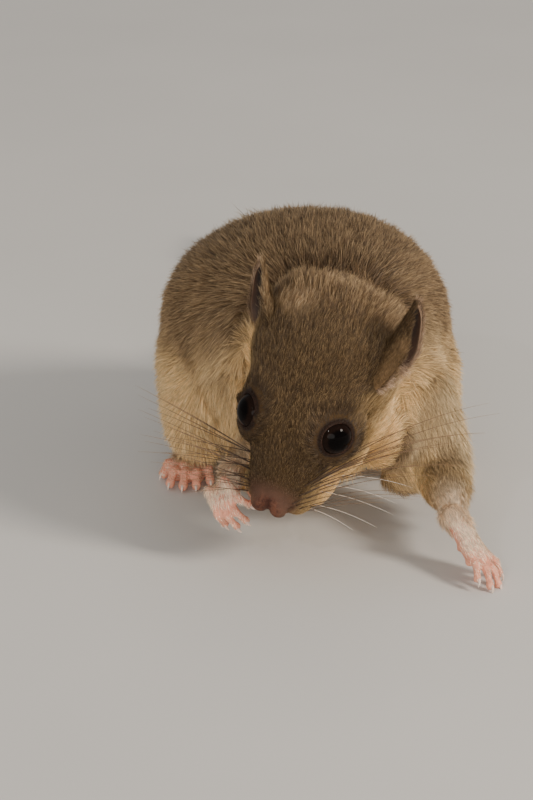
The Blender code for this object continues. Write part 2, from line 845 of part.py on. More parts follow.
def leg_cells(arm, side):
    """Cells of the upper and the lower foreleg."""

    def upper(grow):
        centre = (arm["shoulder"] + arm["elbow"]) / 2 + Vector((3.5 * side, -2.0, -1.0))
        radii = (11.5 + grow, 12.5 + grow, 15.0 + grow)
        return ellipsoid(centre, radii, turn=(0, 20 * side, 0), segments=18, rings=12)

    def lower(grow):
        way = arm["wrist"] - arm["elbow"]
        turn = way.to_track_quat("Z", "Y").to_matrix().to_4x4()
        frame = Matrix.Translation(arm["elbow"] + way * 0.72) @ turn
        half = way.length * 0.56
        return ellipsoid(
            (0, 0, 0), (9.5 + grow, 9.5 + grow, half + grow), segments=18, rings=12, frame=frame
        )

    return upper, lower


def thigh_cell(side):
    def cell(grow):
        return ellipsoid(
            mirrored(THIGH_CENTRE + Vector((5.0, 0, 1.0)), side),
            THIGH_RADII + Vector((2.0 + grow, 2.5 + grow, 3.0 + grow)),
            turn=(12, 0, 6 * side), segments=22, rings=13,
        )

    return cell


def shank_cell(side):
    def cell(grow):
        return ellipsoid(
            (26.0 * side, 24.0, 3.0), (14.0 + grow, 20.0 + grow, 9.0 + grow), turn=(6, 0, 0),
            segments=18, rings=10,
        )

    return cell


def neck_cell(grow):
    return ellipsoid(
        (4.0, -20.0, 47.0), (26.0 + grow, 15.0 + grow, 24.0 + grow), segments=18, rings=12
    )


# Tail


def tail_at(y):
    """The tail at a place along it: centre, bush half sizes and core half sizes."""
    row = [float(np.interp(y, tail_rows[:, 1], tail_rows[:, k])) for k in range(7)]
    return Vector((row[0], y, row[2])), row[3:5], row[5:7]


def around_tail(y, degrees, share, column):
    """A point at an angle round the tail, at a share of its core's (2) or its bush's (1) radius."""
    place = tail_at(y)
    half = place[column]
    a = math.radians(degrees)
    return place[0] + Vector((half[0] * math.cos(a), 0, half[1] * math.sin(a))) * share


def lock(root, middle, tip, centre, width, thickness):
    """A flat tapered lock of hair that bends from its root by the middle to its tip."""
    bm = bmesh.new()
    rings = []
    for u, wide, thick in LOCK_SHAPE:
        point = root * (1 - u) ** 2 + middle * 2 * u * (1 - u) + tip * u * u
        way = ((middle - root) * (1 - u) + (tip - middle) * u).normalized()
        out = (point - centre) * LOCK_LIE
        across = way.cross(out).normalized()
        up = across.cross(way).normalized()
        side, rise = across * (width / 2 * wide), up * (thickness / 2 * thick)
        rings.append([bm.verts.new(point + o) for o in (side, rise, -side, -rise)])
    last = bm.verts.new(tip)
    # The upper and the under side are split alike, so that they can't cross
    for low, high in zip(rings, rings[1:]):
        for edge in (0, 2):
            for face in (1, 3):
                bm.faces.new((low[edge], low[face], high[face]))
                bm.faces.new((low[edge], high[face], high[edge]))
    for edge in (0, 2):
        for face in (1, 3):
            bm.faces.new((rings[-1][edge], rings[-1][face], last))
    bm.faces.new((rings[0][0], rings[0][1], rings[0][3]))
    bm.faces.new((rings[0][2], rings[0][3], rings[0][1]))
    return object_of(bm)


def tail_locks():
    """Locks in rows along the tail, parted to its two sides, each over the roots of the next."""
    made = []
    for i in range(LOCK_ROWS):
        y = LOCK_START + (LOCK_END - LOCK_START) * i / (LOCK_ROWS - 1)
        reach = LOCK_LENGTH * min(1.0, 0.72 + 0.1 * i)
        for k, (low, high, wide) in enumerate(LOCK_ANGLES):
            for side in (1, -1):
                shift = chance.uniform(-1.6, 1.6) + (3.0 if k % 2 else -1.0)
                root_y = y + shift
                tip_y = min(root_y + reach * chance.uniform(0.92, 1.06), TAIL_END - 1.5 * k)
                turn = chance.uniform(-5, 5)
                angles = (low + turn, high + turn * 0.6)
                if side < 0:
                    angles = (180 - angles[0], 180 - angles[1])
                root = around_tail(root_y, angles[0], 0.45, 2)
                middle = around_tail(root_y + (tip_y - root_y) * 0.42, angles[1], 0.93, 1)
                tip = around_tail(tip_y, angles[1], chance.uniform(0.95, 1.03), 1)
                tip.z = max(tip.z, 0.9)
                middle.z = max(middle.z, 1.2)
                centre = tail_at(root_y)[0]
                width = LOCK_WIDTH * wide * chance.uniform(0.92, 1.08)
                made.append(lock(root, middle, tip, centre, width, LOCK_THICKNESS))
    for degrees, short in END_LOCKS:
        root = around_tail(LOCK_END + 4.0, degrees, 0.4, 2)
        middle = around_tail(LOCK_END + 11.0, degrees, 0.7, 1)
        tip = tail_at(TAIL_END - short)[0] + (middle - tail_at(LOCK_END + 11.0)[0]) * 0.35
        made.append(lock(root, middle, tip, tail_at(LOCK_END)[0], 6.0, LOCK_THICKNESS))
    return made


def make_tail(name):
    """The tail: a core to half way out, fused with its locks in one union."""
    rows = [(r[1], r[0], r[2], r[5], r[6]) for r in TAIL]
    whole = loft(rows, steps=2, sides=10)
    whole.name = name
    bush = new_collection("bush")
    for piece in tail_locks():
        helpers.objects.unlink(piece)
        bush.objects.link(piece)
    bush.hide_render = True
    modified(whole, "BOOLEAN", operation="UNION", operand_type="COLLECTION", collection=bush,
             solver="MANIFOLD")
    for piece in list(bush.objects):
        bpy.data.objects.remove(piece)
    bpy.data.collections.remove(bush)
    front = slab((-100, TAIL[0][1] + TAIL_START + GAP, -50), (100, 300, 60))
    boolean(whole, front, "INTERSECT")
    bpy.data.objects.remove(front)
    above_floor(whole)
    modified(whole, "TRIANGULATE")
    return largest_surface(whole)


# Assembly


def move_to_origin(objects):
    """Moves the whole model so that its box stands on the origin."""
    points = np.array([v.co for obj in objects for v in obj.data.vertices])
    low, high = points.min(0), points.max(0)
    shift = Vector((-(low[0] + high[0]) / 2, -(low[1] + high[1]) / 2, -low[2]))
    for obj in objects:
        obj.data.transform(Matrix.Translation(shift))
    return shift


def finish_node(obj, name, surface):
    obj.name = name
    obj.data.name = name
    obj.data.materials.clear()
    obj.data.materials.append(surface)
    obj.data.shade_smooth()
    helpers.objects.unlink(obj)
    parts.objects.link(obj)
    return obj


clear_scene()
parts = new_collection("edible_dormouse")
helpers = new_collection("helpers")
helpers.hide_render = True
tail_rows = smooth_rows(TAIL, 8)
chance = random.Random(SEED)

fur = material("fur", 0.9)
ear_skin = material("ear", 0.6)
eye_gloss = material("eye", 0.05)
foot_skin = material("foot", 0.55)

body = body_flesh()
nodes = {}
for label, arm, side in (("left", LEFT_ARM, 1), ("right", RIGHT_ARM, -1)):
    upper_cell, lower_cell = leg_cells(arm, side)
    nodes[f"lower_foreleg_{label}"] = part_off(body, "lower", lower_cell)
    nodes[f"upper_foreleg_{label}"] = part_off(body, "upper", upper_cell)
    nodes[f"forefoot_{label}"] = make_forefoot("foot", arm)
for label, spec in HIND_FEET.items():
    nodes[f"shank_{label}"] = part_off(body, "shank", shank_cell(spec["side"]))
    nodes[f"thigh_{label}"] = part_off(body, "thigh", thigh_cell(spec["side"]))
    nodes[f"hindfoot_{label}"] = make_hindfoot("foot", spec)
cell = head_cell(GAP)
boolean(body, cell, "DIFFERENCE")
bpy.data.objects.remove(cell)
largest_surface(body)
nodes["neck"] = part_off(body, "neck", neck_cell)
start = slab((-60, TAIL[0][1] + TAIL_START, -60), (60, 300, 60))
boolean(body, start, "DIFFERENCE")
bpy.data.objects.remove(start)
nodes["torso"] = above_floor(body)
nodes["head"], head_and_nape = make_head()
for label, side in (("left", 1), ("right", -1)):
    nodes[f"ear_{label}"] = make_ear("ear", side, head_and_nape)
    nodes[f"eye_{label}"] = make_eye("eye", side)
nodes["tail"] = make_tail("tail")

for label, arm in (("left", LEFT_ARM), ("right", RIGHT_ARM)):
    cut_wrist(nodes[f"forefoot_{label}"], nodes[f"lower_foreleg_{label}"], arm)
for name, neighbour in CLEAR_CUTS:
    cut_clear(nodes[name], nodes[neighbour])
for name in ("thigh", "shank", "upper_foreleg", "lower_foreleg"):
    for label in ("left", "right"):
        merge_flat(nodes[f"{name}_{label}"])
for name, obj in nodes.items():
    print("node", name, triangle_count(obj))

print("moved by", [round(c / MM, 3) for c in move_to_origin(list(nodes.values()))])

SURFACES = {"ear": ear_skin, "eye": eye_gloss, "forefoot": foot_skin, "hindfoot": foot_skin}
for name, obj in nodes.items():
    finish_node(obj, name, SURFACES.get(name.split("_")[0], fur))
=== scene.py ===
"""Edible dormouse: skin, coat, eyes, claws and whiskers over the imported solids, with the studio.

Lengths in the tables are millimetres in the frame in which the animal was laid out: the body runs
along +Y, +X is its own left and the floor is at z = 0. FRAME_SHIFT moves that onto the model's frame.
"""

import json
import math

import bpy
import numpy as np
from mathutils import Euler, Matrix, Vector
from mathutils.bvhtree import BVHTree
from mathutils.kdtree import KDTree

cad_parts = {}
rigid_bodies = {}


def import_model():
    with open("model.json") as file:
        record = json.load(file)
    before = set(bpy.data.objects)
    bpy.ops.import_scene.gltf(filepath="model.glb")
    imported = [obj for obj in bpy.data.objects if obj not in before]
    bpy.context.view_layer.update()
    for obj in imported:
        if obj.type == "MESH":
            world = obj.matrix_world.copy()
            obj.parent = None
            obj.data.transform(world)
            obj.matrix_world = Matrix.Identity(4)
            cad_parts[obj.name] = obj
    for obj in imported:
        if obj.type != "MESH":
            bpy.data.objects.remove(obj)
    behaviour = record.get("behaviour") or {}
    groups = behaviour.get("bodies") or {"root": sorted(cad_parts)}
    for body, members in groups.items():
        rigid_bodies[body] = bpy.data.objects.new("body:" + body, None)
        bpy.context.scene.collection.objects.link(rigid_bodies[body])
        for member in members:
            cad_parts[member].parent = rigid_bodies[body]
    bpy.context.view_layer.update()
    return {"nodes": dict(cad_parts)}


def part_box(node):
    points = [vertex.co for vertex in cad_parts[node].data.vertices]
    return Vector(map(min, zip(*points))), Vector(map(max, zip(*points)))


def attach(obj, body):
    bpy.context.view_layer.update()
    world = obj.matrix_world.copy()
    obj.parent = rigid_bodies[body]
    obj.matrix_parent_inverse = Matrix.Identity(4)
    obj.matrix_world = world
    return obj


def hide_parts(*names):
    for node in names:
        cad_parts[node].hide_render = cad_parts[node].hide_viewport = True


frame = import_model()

MM = 0.001
SEED = 11

# Voxels of the skin and its parts in millimetres, and rounds of smoothing
BODY_VOXEL = 0.75
HEAD_VOXEL = 0.4
SKIN_VOXEL = 0.42
BODY_SMOOTHING = 12
HEAD_SMOOTHING = 6
SKIN_SMOOTHING = 2
# How far round a tube's rounded end its rings lie, in radians
CAP_ANGLES = (1.2, 0.8, 0.4)

# The head's place and turn, and its sections: y (the nose is at -Y), x, z, half width, half height
HEAD_PLACE = Vector((2.3, -23.5, 45.3))
HEAD_TURN = (65.0, 12.0, -22.0)
NOSE_Y = -35.0
HEAD = [
    (NOSE_Y + 0.9, 0.0, -0.2, 3.2, 2.6),
    (-33.2, 0.0, -0.8, 4.7, 4.0),
    (-31.6, 0.0, -1.3, 5.8, 5.2),
    (-29.0, 0.0, -1.6, 6.8, 6.5),
    (-26.0, 0.0, -1.6, 7.6, 7.8),
    (-22.5, 0.0, -1.3, 8.7, 9.0),
    (-18.5, 0.0, -0.8, 9.7, 9.8),
    (-14.0, 0.0, -0.3, 11.6, 10.7),
    (-8.5, 0.0, 0.0, 14.0, 11.7),
    (-3.0, 0.0, 0.1, 15.6, 12.4),
    (3.0, 0.0, 0.0, 15.7, 12.7),
    (9.0, 0.0, -1.0, 14.6, 12.2),
    (14.0, 0.0, -2.0, 12.0, 11.0),
]
# Round forms of the head, as centre and radii: the chin, and on each side the cheek, the jaw, the
# ear's base, the nose pad, the whisker pad, the lip and the cheek's corner
CHIN_FORM = ((0.0, -25.0, -8.2), (4.6, 7.2, 3.4))
HEAD_FORMS = [
    ((10.0, -2.0, -4.2), (6.4, 10.5, 7.8)),
    ((7.0, -13.5, -7.5), (7.6, 11.5, 6.4)),
    ((11.2, 3.0, 4.6), (3.9, 4.6, 4.2)),
    ((2.1, NOSE_Y + 2.6, 0.6), (2.5, 3.2, 2.7)),
    ((4.0, -28.4, -3.0), (4.1, 5.6, 4.6)),
    ((4.6, -23.5, -8.4), (5.6, 8.5, 4.5)),
    ((10.4, -8.5, -7.6), (6.2, 9.0, 6.2)),
]

EYE_CENTRE = Vector((8.2, -14.9, 4.3))
EYE_AXIS = Vector((0.67, -0.20, 0.715)).normalized()
# The right eye sits a touch further forward
EYE_SHIFT = Vector((0.28, -0.8, -0.05))
EYE_RADIUS = 4.5
EYE_BULGE = 0.05
# The angle from the eye's axis, in radians, at which the iris ends
IRIS_END = 1.1
EYE_MOUND = (7.8, 7.8, 4.2)
MOUND_SUNK = 0.9
LID_OFFSET = 2.9
LID_RADIUS = 3.5
LID_THICKNESS = 0.24
LID_SKIRT = 0.7

SIDES = (("left", 1), ("right", -1))

# Ears: the fold's root on the head, the way it points, the way it opens, its length, and how far
# its upper and lower wall reach
EARS = {
    1: {
        "root": Vector((11.9, 0.2, 3.9)),
        "axis": Vector((0.31, 0.87, 0.42)).normalized(),
        "opening": Vector((0.935, -0.24, -0.22)),
        "length": 18.3,
        "reach": (1.0, 1.0),
    },
    -1: {
        "root": Vector((-10.2, 1.0, 2.9)),
        "axis": Vector((-0.45, 0.87, 0.43)).normalized(),
        "opening": Vector((-0.87, -0.32, 0.40)),
        "length": 15.4,
        "reach": (0.45, 0.70),
    },
}
EAR_THICKNESS = 0.6
EAR_SUNK = 2.0
# Hairs on the ears: tufts per square millimetre, and their width
EAR_DENSITY = 44.0
EAR_HAIR_WIDTH = 0.09
# From root to tip: share of the length, reach of the upper and the lower wall, gap between them
EAR_ROWS = [
    (0.00, 2.8, 4.2, 5.0),
    (0.12, 3.4, 4.9, 6.4),
    (0.28, 3.9, 5.7, 7.8),
    (0.45, 3.9, 5.8, 8.4),
    (0.60, 3.4, 4.9, 7.6),
    (0.74, 2.5, 3.6, 6.0),
    (0.86, 1.5, 2.3, 4.2),
    (0.94, 0.7, 1.1, 2.7),
    (1.00, 0.2, 0.3, 1.2),
]

# Fur-filled forms at the throat and the chest: centre and radii
CHEST_FORMS = [
    ((14.5, -15.5, 23.5), (8.0, 7.5, 8.5)),
    ((5.0, -12.0, 18.5), (9.0, 8.0, 7.0)),
    ((-9.5, -13.5, 25.0), (7.0, 7.0, 8.5)),
    ((20.0, -8.5, 15.0), (7.0, 6.0, 8.5)),
]
FLANK_SWELL = 1.6

LEFT_ARM = {
    "side": 1,
    "cream": (0.65, 1.25),
    "shoulder": Vector((20.0, -4.0, 31.0)),
    "elbow": Vector((27.2, -10.0, 14.8)),
    "wrist": Vector((30.6, -31.2, 9.6)),
    "knuckle": Vector((34.6, -37.0, 4.9)),
    "tip": Vector((38.2, -42.6, 1.6)),
    "up": Vector((0.25, 0.1, 1.0)),
    "curl": 0.9,
    "arch": 0.5,
}
RIGHT_ARM = {
    "side": -1,
    "cream": (-0.6, 0.2),
    "shoulder": Vector((-11.0, -4.0, 29.0)),
    "elbow": Vector((-12.0, -7.0, 15.5)),
    "wrist": Vector((-17.2, -25.0, 17.0)),
    "knuckle": Vector((-18.2, -30.2, 14.6)),
    "tip": Vector((-15.6, -33.0, 10.6)),
    "up": Vector((-0.35, -1.0, 0.3)),
    "curl": 1.8,
    "arch": 0.7,
}
ARMS = (LEFT_ARM, RIGHT_ARM)
HIND_FEET = [
    {"side": 1, "heel": Vector((24.5, 35.0, 3.2)), "toe": Vector((27.5, 14.5, 2.6))},
    {"side": -1, "heel": Vector((-24.5, 35.0, 3.2)), "toe": Vector((-27.5, 14.5, 2.6))},
]
# Fingers and toes: place across the foot, set-back, splay and length, the thumb side first
FORE_DIGITS = [
    (-2.6, 1.0, -0.26, 0.74),
    (-0.9, 0.0, -0.06, 0.98),
    (0.9, 0.0, 0.05, 1.0),
    (2.5, 0.8, 0.16, 0.82),
]
HIND_DIGITS = [
    (-3.7, 3.0, -0.42, 4.6),
    (-2.2, 0.2, -0.14, 6.6),
    (0.0, 0.0, 0.0, 7.4),
    (2.1, 0.3, 0.12, 7.0),
    (3.8, 1.8, 0.32, 5.6),
]
# Pads, as place across the foot, place along it and, under the hind foot, size
PALM_PADS = [(-1.9, 0.2), (0.1, -0.2), (1.9, 0.3), (-1.2, -3.6), (1.3, -3.8)]
SOLE_PADS = [
    (-2.4, -0.4, 1.5),
    (0.0, -1.0, 1.5),
    (2.3, -0.4, 1.5),
    (-3.4, 3.6, 1.5),
    (3.2, 3.4, 1.5),
    (-1.6, 9.0, 1.8),
    (1.2, 12.0, 1.8),
    (0.0, 19.5, 2.2),
]
# A digit's bones: share of its length, share of its arch and of its drop, share of its radius
DIGIT_BONES = [
    (0.30, 0.75, 0.0, 0.90),
    (0.55, 1.0, 0.0, 1.02),
    (0.80, 0.4, 0.45, 0.86),
    (1.0, 0.0, 1.0, 0.98),
]
FINGER_RADIUS = 0.86
TOE_RADIUS = 1.15
CLAW_LENGTH = 1.7
CLAW_RADIUS = 0.40
CLAW_TIP = 0.04

# Tail line: x, y, z, bush half width, bush half height, core half width, core half height
TAIL = [
    (-2.0, 60.0, 14.0, 13.0, 12.0, 11.0, 10.6),
    (-1.8, 71.0, 10.2, 10.0, 9.2, 8.6, 8.2),
    (0.8, 84.0, 8.5, 12.6, 8.6, 5.8, 4.8),
    (4.6, 98.0, 8.2, 15.8, 8.6, 6.0, 3.8),
    (7.6, 113.0, 8.2, 17.6, 8.5, 6.4, 3.6),
    (7.8, 128.0, 8.2, 18.0, 8.5, 6.4, 3.6),
    (4.4, 143.0, 8.2, 16.6, 8.5, 5.8, 3.4),
    (-1.0, 156.0, 7.8, 12.6, 8.0, 4.4, 3.0),
    (-5.6, 166.0, 6.8, 7.8, 6.6, 2.8, 2.2),
    (-8.4, 171.0, 6.0, 3.2, 3.4, 1.0, 1.0),
]
# Where the tail's own coat takes over from the rump's
TAIL_START = (62.0, 74.0)

# The camera: its height over the floor in degrees, its distance and lens, and what it aims at
CAMERA_TILT = 22.0
CAMERA_DISTANCE = 560.0
CAMERA_AIM = Vector((-9.7, 0.0, 25.4))
CAMERA_LENS = 114.66
SENSOR_HEIGHT = 36.0

# Fur by region: length, depth of the skin under the solid's surface, width of one tuft, tufts per
# square millimetre, and how far they lift from the skin in degrees
COAT = {
    "torso": (6.6, 3.0, 0.16, 15.6, 19),
    "neck": (5.2, 2.3, 0.145, 18.5, 18),
    "head": (3.4, 1.3, 0.105, 35.0, 16),
    "thigh": (5.6, 2.4, 0.16, 15.6, 18),
    "shank": (4.2, 1.5, 0.15, 14.0, 17),
    "upper_foreleg": (4.2, 1.7, 0.13, 20.0, 17),
    "lower_foreleg": (3.2, 0.8, 0.11, 32.0, 14),
    "forefoot": (2.2, 0.1, 0.085, 36.0, 10),
    "hindfoot": (1.6, 0.1, 0.085, 18.0, 12),
    "tail": (16.5, 0.0, 0.24, 9.5, 15),
}
REGIONS = list(COAT)
# The columns of the table above
LENGTH, DEPTH, WIDTH, DENSITY, LIFT = range(5)

# The most triangles in one piece of the coat
PIECE_TRIANGLES = 195000
# One tuft: how deep its root is sunk, how far it bends to each side in radians, and the size of its
# patch on the unwrap
ROOT_SUNK = 0.18
TUFT_BEND = 0.30
UV_PATCH = 0.003

# The least height over the floor of skin and claws, of hair and of whiskers
SKIN_LOW = 0.02
HAIR_LOW = 0.12
WHISKER_LOW = 0.4
# How far the whiskers reach to either side, and the radius of their tips
WHISKER_REACH = (-46.9, 53.0)
WHISKER_TIP = 0.012
# Whisker rows on each side's pad, from above to below: height, length, slope, and whether pale
WHISKER_ROWS = {
    -1: [
        (1.8, 27, 0.46, False),
        (0.8, 30, 0.38, False),
        (-0.4, 31, 0.30, False),
        (-1.6, 31, 0.21, False),
        (-3.0, 24, 0.06, False),
    ],
    1: [
        (1.8, 34, 0.58, False),
        (0.2, 46, 0.50, False),
        (-1.6, 48, 0.42, False),
        (-3.4, 34, 0.24, False),
        (-5.4, 20, -0.20, True),
    ],
}

# The studio: its even light and its floor's half width in metres
WORLD_STRENGTH = 0.46
WORLD_COLOUR = (1.0, 0.97, 0.93, 1.0)
FLOOR_REACH = 6.0
# Soft lights: place from the aim in metres, power, size in metres and colour
LIGHTS = [
    ("key", (0.85, -0.45, 0.60), 10.7, (0.27, 0.27), (1.0, 0.91, 0.80)),
    ("fill", (-0.15, -1.0, 0.16), 6.2, (0.8, 0.6), (1.0, 0.94, 0.87)),
    ("back", (0.1, 0.85, 0.85), 1.2, (0.6, 0.4), (1.0, 0.93, 0.84)),
    ("catch", (-0.42, -0.74, 0.66), 0.8, (0.02, 0.02), (1.0, 0.98, 0.95)),
]


def srgb(red, green, blue):
    """A linear colour from red, green and blue as they look on screen, 0 to 255."""
    value = np.array([red, green, blue], float) / 255
    return np.where(value <= 0.04045, value / 12.92, ((value + 0.055) / 1.055) ** 2.4)


# Colours of the coat and the skin
BACK_GREY = srgb(110, 85, 57)
BACK_TIP = srgb(202, 172, 128)
HEAD_BROWN = srgb(80, 60, 37)
HEAD_TIP = srgb(176, 146, 104)
CREAM = srgb(248, 210, 148)
CREAM_TIP = srgb(252, 230, 188)
WHITE_FUR = srgb(248, 236, 218)
HAND_FUR = srgb(255, 234, 208)
CHEEK_CREAM = srgb(238, 198, 136)
ARM_BUFF = srgb(206, 178, 134)
# The middle of the left forearm's dark patch
FOREARM_PATCH = np.array([28.8, -15.5, 15.0])
EYE_RING = srgb(44, 32, 25)
PINK_SKIN = srgb(232, 164, 138)
NOSE_SKIN = srgb(106, 68, 52)
NOSE_DARK = srgb(70, 44, 38)
# Painted shade in the nostrils and in the groove between the nose's lobes
NOSTRIL_SHADE = srgb(52, 28, 24)
EAR_BACK = srgb(104, 80, 58)
EAR_INSIDE = srgb(84, 58, 42)
# Painted shade deep in the ear's cup
EAR_CUP_SHADE = srgb(28, 17, 12)
EAR_WARM = srgb(188, 152, 110)
TAIL_GREY = srgb(114, 94, 68)
TAIL_TIP = srgb(204, 184, 148)
SOFT_OCHRE = srgb(196, 160, 112)
SNOUT = srgb(126, 92, 78)
SNOUT_TIP = srgb(200, 170, 150)
LID_DARK = srgb(38, 25, 18)
LID_EDGE = srgb(66, 44, 34)
LIP = srgb(176, 122, 110)
# Painted highlight on the ear's rim
EAR_RIM_HIGHLIGHT = srgb(170, 142, 116)
EAR_HAIR = srgb(222, 190, 160)
# The eye from its pupil to its edge
EYE_STOPS = [
    (0.0, srgb(5, 4, 4)),
    (0.42, srgb(7, 5, 5)),
    (0.55, srgb(26, 16, 12)),
    (0.85, srgb(20, 13, 10)),
    (1.0, srgb(10, 7, 6)),
]
# Claws and whiskers: colour at the root and at the tip, size of the grain, and roughness
HORN = {
    "claw": (srgb(206, 170, 156), srgb(232, 220, 204), 2400.0, 0.32),
    "whisker_dark": (srgb(50, 33, 22), srgb(140, 108, 76), 900.0, 0.55),
    "whisker_pale": (srgb(196, 178, 160), srgb(238, 230, 220), 900.0, 0.4),
}


# Geometry helpers: a body is its points in millimetres and its faces


head_matrix = np.array(Euler([math.radians(a) for a in HEAD_TURN]).to_matrix())
head_origin = np.array(HEAD_PLACE)


def from_head(points):
    return np.asarray(points, float) @ head_matrix.T + head_origin


def to_head(points):
    return (np.asarray(points, float) - head_origin) @ head_matrix


def mirrored(vector, side):
    return Vector((vector[0] * side, vector[1], vector[2]))


def eye_frame(side):
    """The eye's centre and the way it looks, in the head's frame."""
    centre = mirrored(EYE_CENTRE, side)
    if side < 0:
        centre = centre + EYE_SHIFT
    return centre, mirrored(EYE_AXIS, side)


def aimed(points, axis):
    """Points turned so that what looked up looks along the axis."""
    turn = Vector((0, 0, 1)).rotation_difference(Vector(axis)).to_matrix()
    return points @ np.array(turn).T


def smooth_rows(rows, steps):
    """Rows of numbers, with steps values between each two on a Catmull-Rom curve."""
    rows = np.array(rows, float)
    padded = np.vstack([2 * rows[0] - rows[1], rows, 2 * rows[-1] - rows[-2]])
    made = []
    for a, b, c, d in zip(padded, padded[1:], padded[2:], padded[3:]):
        for k in range(steps):
            t = k / steps
            slope = (c - a) * t + (2 * a - 5 * b + 4 * c - d) * t * t
            made.append(0.5 * (2 * b + slope + (3 * b - a - 3 * c + d) * t**3))
    made.append(rows[-1])
    return np.array(made)


def grid_faces(rows, columns, closed):
    """Quads between rows of points, which close into rings or stay open."""
    faces = []
    for low in range(0, (rows - 1) * columns, columns):
        high = low + columns
        for j in range(columns if closed else columns - 1):
            after = (j + 1) % columns
            faces.append((low + j, low + after, high + after, high + j))
    return faces


def rings_to_body(rings):
    """A closed body from rings of points, with flat ends."""
    rings = np.asarray(rings, float)
    count, sides = rings.shape[:2]
    faces = grid_faces(count, sides, True)
    faces.append(tuple(reversed(range(sides))))
    faces.append(tuple(range((count - 1) * sides, count * sides)))
    return rings.reshape(-1, 3), faces


def loft(stations, steps=5, sides=40, power=2.0):
    """A closed body of upright superelliptic sections: y, x, z, half width, half height."""
    rings = []
    angle = np.arange(sides) * 2 * math.pi / sides
    c, s = np.cos(angle), np.sin(angle)
    shape_x = np.sign(c) * np.abs(c) ** (2 / power)
    shape_z = np.sign(s) * np.abs(s) ** (2 / power)
    for y, x, z, width, height in smooth_rows(stations, steps):
        ring = np.stack([x + width * shape_x, np.full(sides, y), z + height * shape_z], 1)
        rings.append(ring)
    return rings_to_body(rings)


def ellipsoid(centre, radii, segments=32, rings=20):
    """A closed ellipsoid."""
    a = np.arange(segments) * 2 * math.pi / segments
    rows = []
    for i in range(1, rings):
        b = math.pi * i / rings
        ring = [np.cos(a) * math.sin(b), np.sin(a) * math.sin(b), np.full(segments, math.cos(b))]
        rows.append(np.stack(ring, 1))
    points, faces = rings_to_body(rows)
    return points * np.array(radii) + np.array(centre), faces


def tube(points, radii, sides=12, steps=5, round_ends=True):
    """A tapered tube through the points, with rounded ends."""
    rows = smooth_rows([(*p, r) for p, r in zip(points, radii)], steps)
    line, radius = rows[:, :3], np.maximum(rows[:, 3], 0.01)
    way = np.gradient(line, axis=0)
    way /= np.linalg.norm(way, axis=1)[:, None]
    if round_ends:
        caps = [math.sin(a) for a in CAP_ANGLES]
        narrow = np.array([math.cos(a) for a in CAP_ANGLES])
        front = [line[0] - way[0] * radius[0] * c for c in caps]
        back = [line[-1] + way[-1] * radius[-1] * c for c in caps[::-1]]
        line = np.vstack([front, line, back])
        radius = np.concatenate([radius[0] * narrow, radius, radius[-1] * narrow[::-1]])
        way = np.vstack([[way[0]] * len(caps), way, [way[-1]] * len(caps)])
    side = np.cross(way[0], [0.0, 0.0, 1.0])
    if np.linalg.norm(side) < 0.1:
        side = np.cross(way[0], [0.0, 1.0, 0.0])
    rings = []
    angle = np.arange(sides) * 2 * math.pi / sides
    for centre, r, w in zip(line, radius, way):
        side = side - w * side.dot(w)
        side /= np.linalg.norm(side)
        up = np.cross(w, side)
        rings.append(centre + r * (np.cos(angle)[:, None] * side + np.sin(angle)[:, None] * up))
    return rings_to_body(rings)


def lid_ring(centre, axis, major, inner, skirt, around=84, section=20):
    """An eyelid's rim: round towards the eye, and running out into the skin on the far side."""
    axis = np.array(axis) / np.linalg.norm(axis)
    side = np.cross(axis, [0, 0, 1.0])
    side /= np.linalg.norm(side)
    across = np.cross(axis, side)
    points, faces = [], []
    for i in range(around):
        a = 2 * math.pi * i / around
        out = math.cos(a) * side + math.sin(a) * across
        # The opening is drawn out slightly to its two corners
        radius = major * (1 + 0.035 * math.cos(2 * a) + 0.015 * math.cos(4 * a))
        for j in range(section):
            b = 2 * math.pi * j / section
            reach = math.cos(b) * (skirt if math.cos(b) > 0 else inner)
            sink = 0.55 * max(0.0, math.cos(b)) ** 1.5
            spot = np.array(centre) + (radius + reach) * out + (inner * math.sin(b) - sink) * axis
            points.append(spot)
            after, up = ((i + 1) % around) * section, (j + 1) % section
            faces.append((i * section + j, after + j, after + up, i * section + up))
    return np.array(points), faces


def joined(pieces):
    """Several bodies as one list of points and faces."""
    points, faces, start = [], [], 0
    for p, f in pieces:
        points.append(p)
        faces += [tuple(i + start for i in face) for face in f]
        start += len(p)
    return np.vstack(points), faces


# Objects and meshes


def find_shift():
    """How far the solids were moved so that their box stands on the origin, from the left eye."""
    low, high = (np.array(c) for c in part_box("eye_left"))
    shift = (low + high) / 2 / MM - from_head([EYE_CENTRE])[0]
    return np.array([shift[0], shift[1], 0.0])


FRAME_SHIFT = find_shift()


def linked(name, data):
    """A new object in the scene."""
    obj = bpy.data.objects.new(name, data)
    bpy.context.scene.collection.objects.link(obj)
    return obj


def to_object(name, points, faces):
    mesh = bpy.data.meshes.new(name)
    mesh.from_pydata(((points + FRAME_SHIFT) * MM).tolist(), [], faces)
    mesh.update()
    return linked(name, mesh)


def applied(obj, kind, **settings):
    """Adds one modifier and makes its result the object's mesh."""
    modifier = obj.modifiers.new(kind.lower(), kind)
    for key, value in settings.items():
        setattr(modifier, key, value)
    bpy.context.view_layer.update()
    graph = bpy.context.evaluated_depsgraph_get()
    mesh = bpy.data.meshes.new_from_object(obj.evaluated_get(graph))
    obj.modifiers.clear()
    old = obj.data
    obj.data = mesh
    bpy.data.meshes.remove(old)


def read(items, key, width=1, kind=np.float32):
    """One property of all items, as numbers or as rows of numbers."""
    made = np.empty(len(items) * width, kind)
    items.foreach_get(key, made)
    return made.reshape(-1, width) if width > 1 else made


def points_of(mesh):
    """The mesh's points in millimetres, in the animal's layout frame."""
    return read(mesh.vertices, "co", 3).astype(float) / MM - FRAME_SHIFT


def stored(points):
    """Points as the mesh keeps them, in metres on the model's frame."""
    return ((points + FRAME_SHIFT) * MM).astype(np.float32).ravel()


def set_points(mesh, points):
    mesh.vertices.foreach_set("co", stored(points))
    mesh.update()


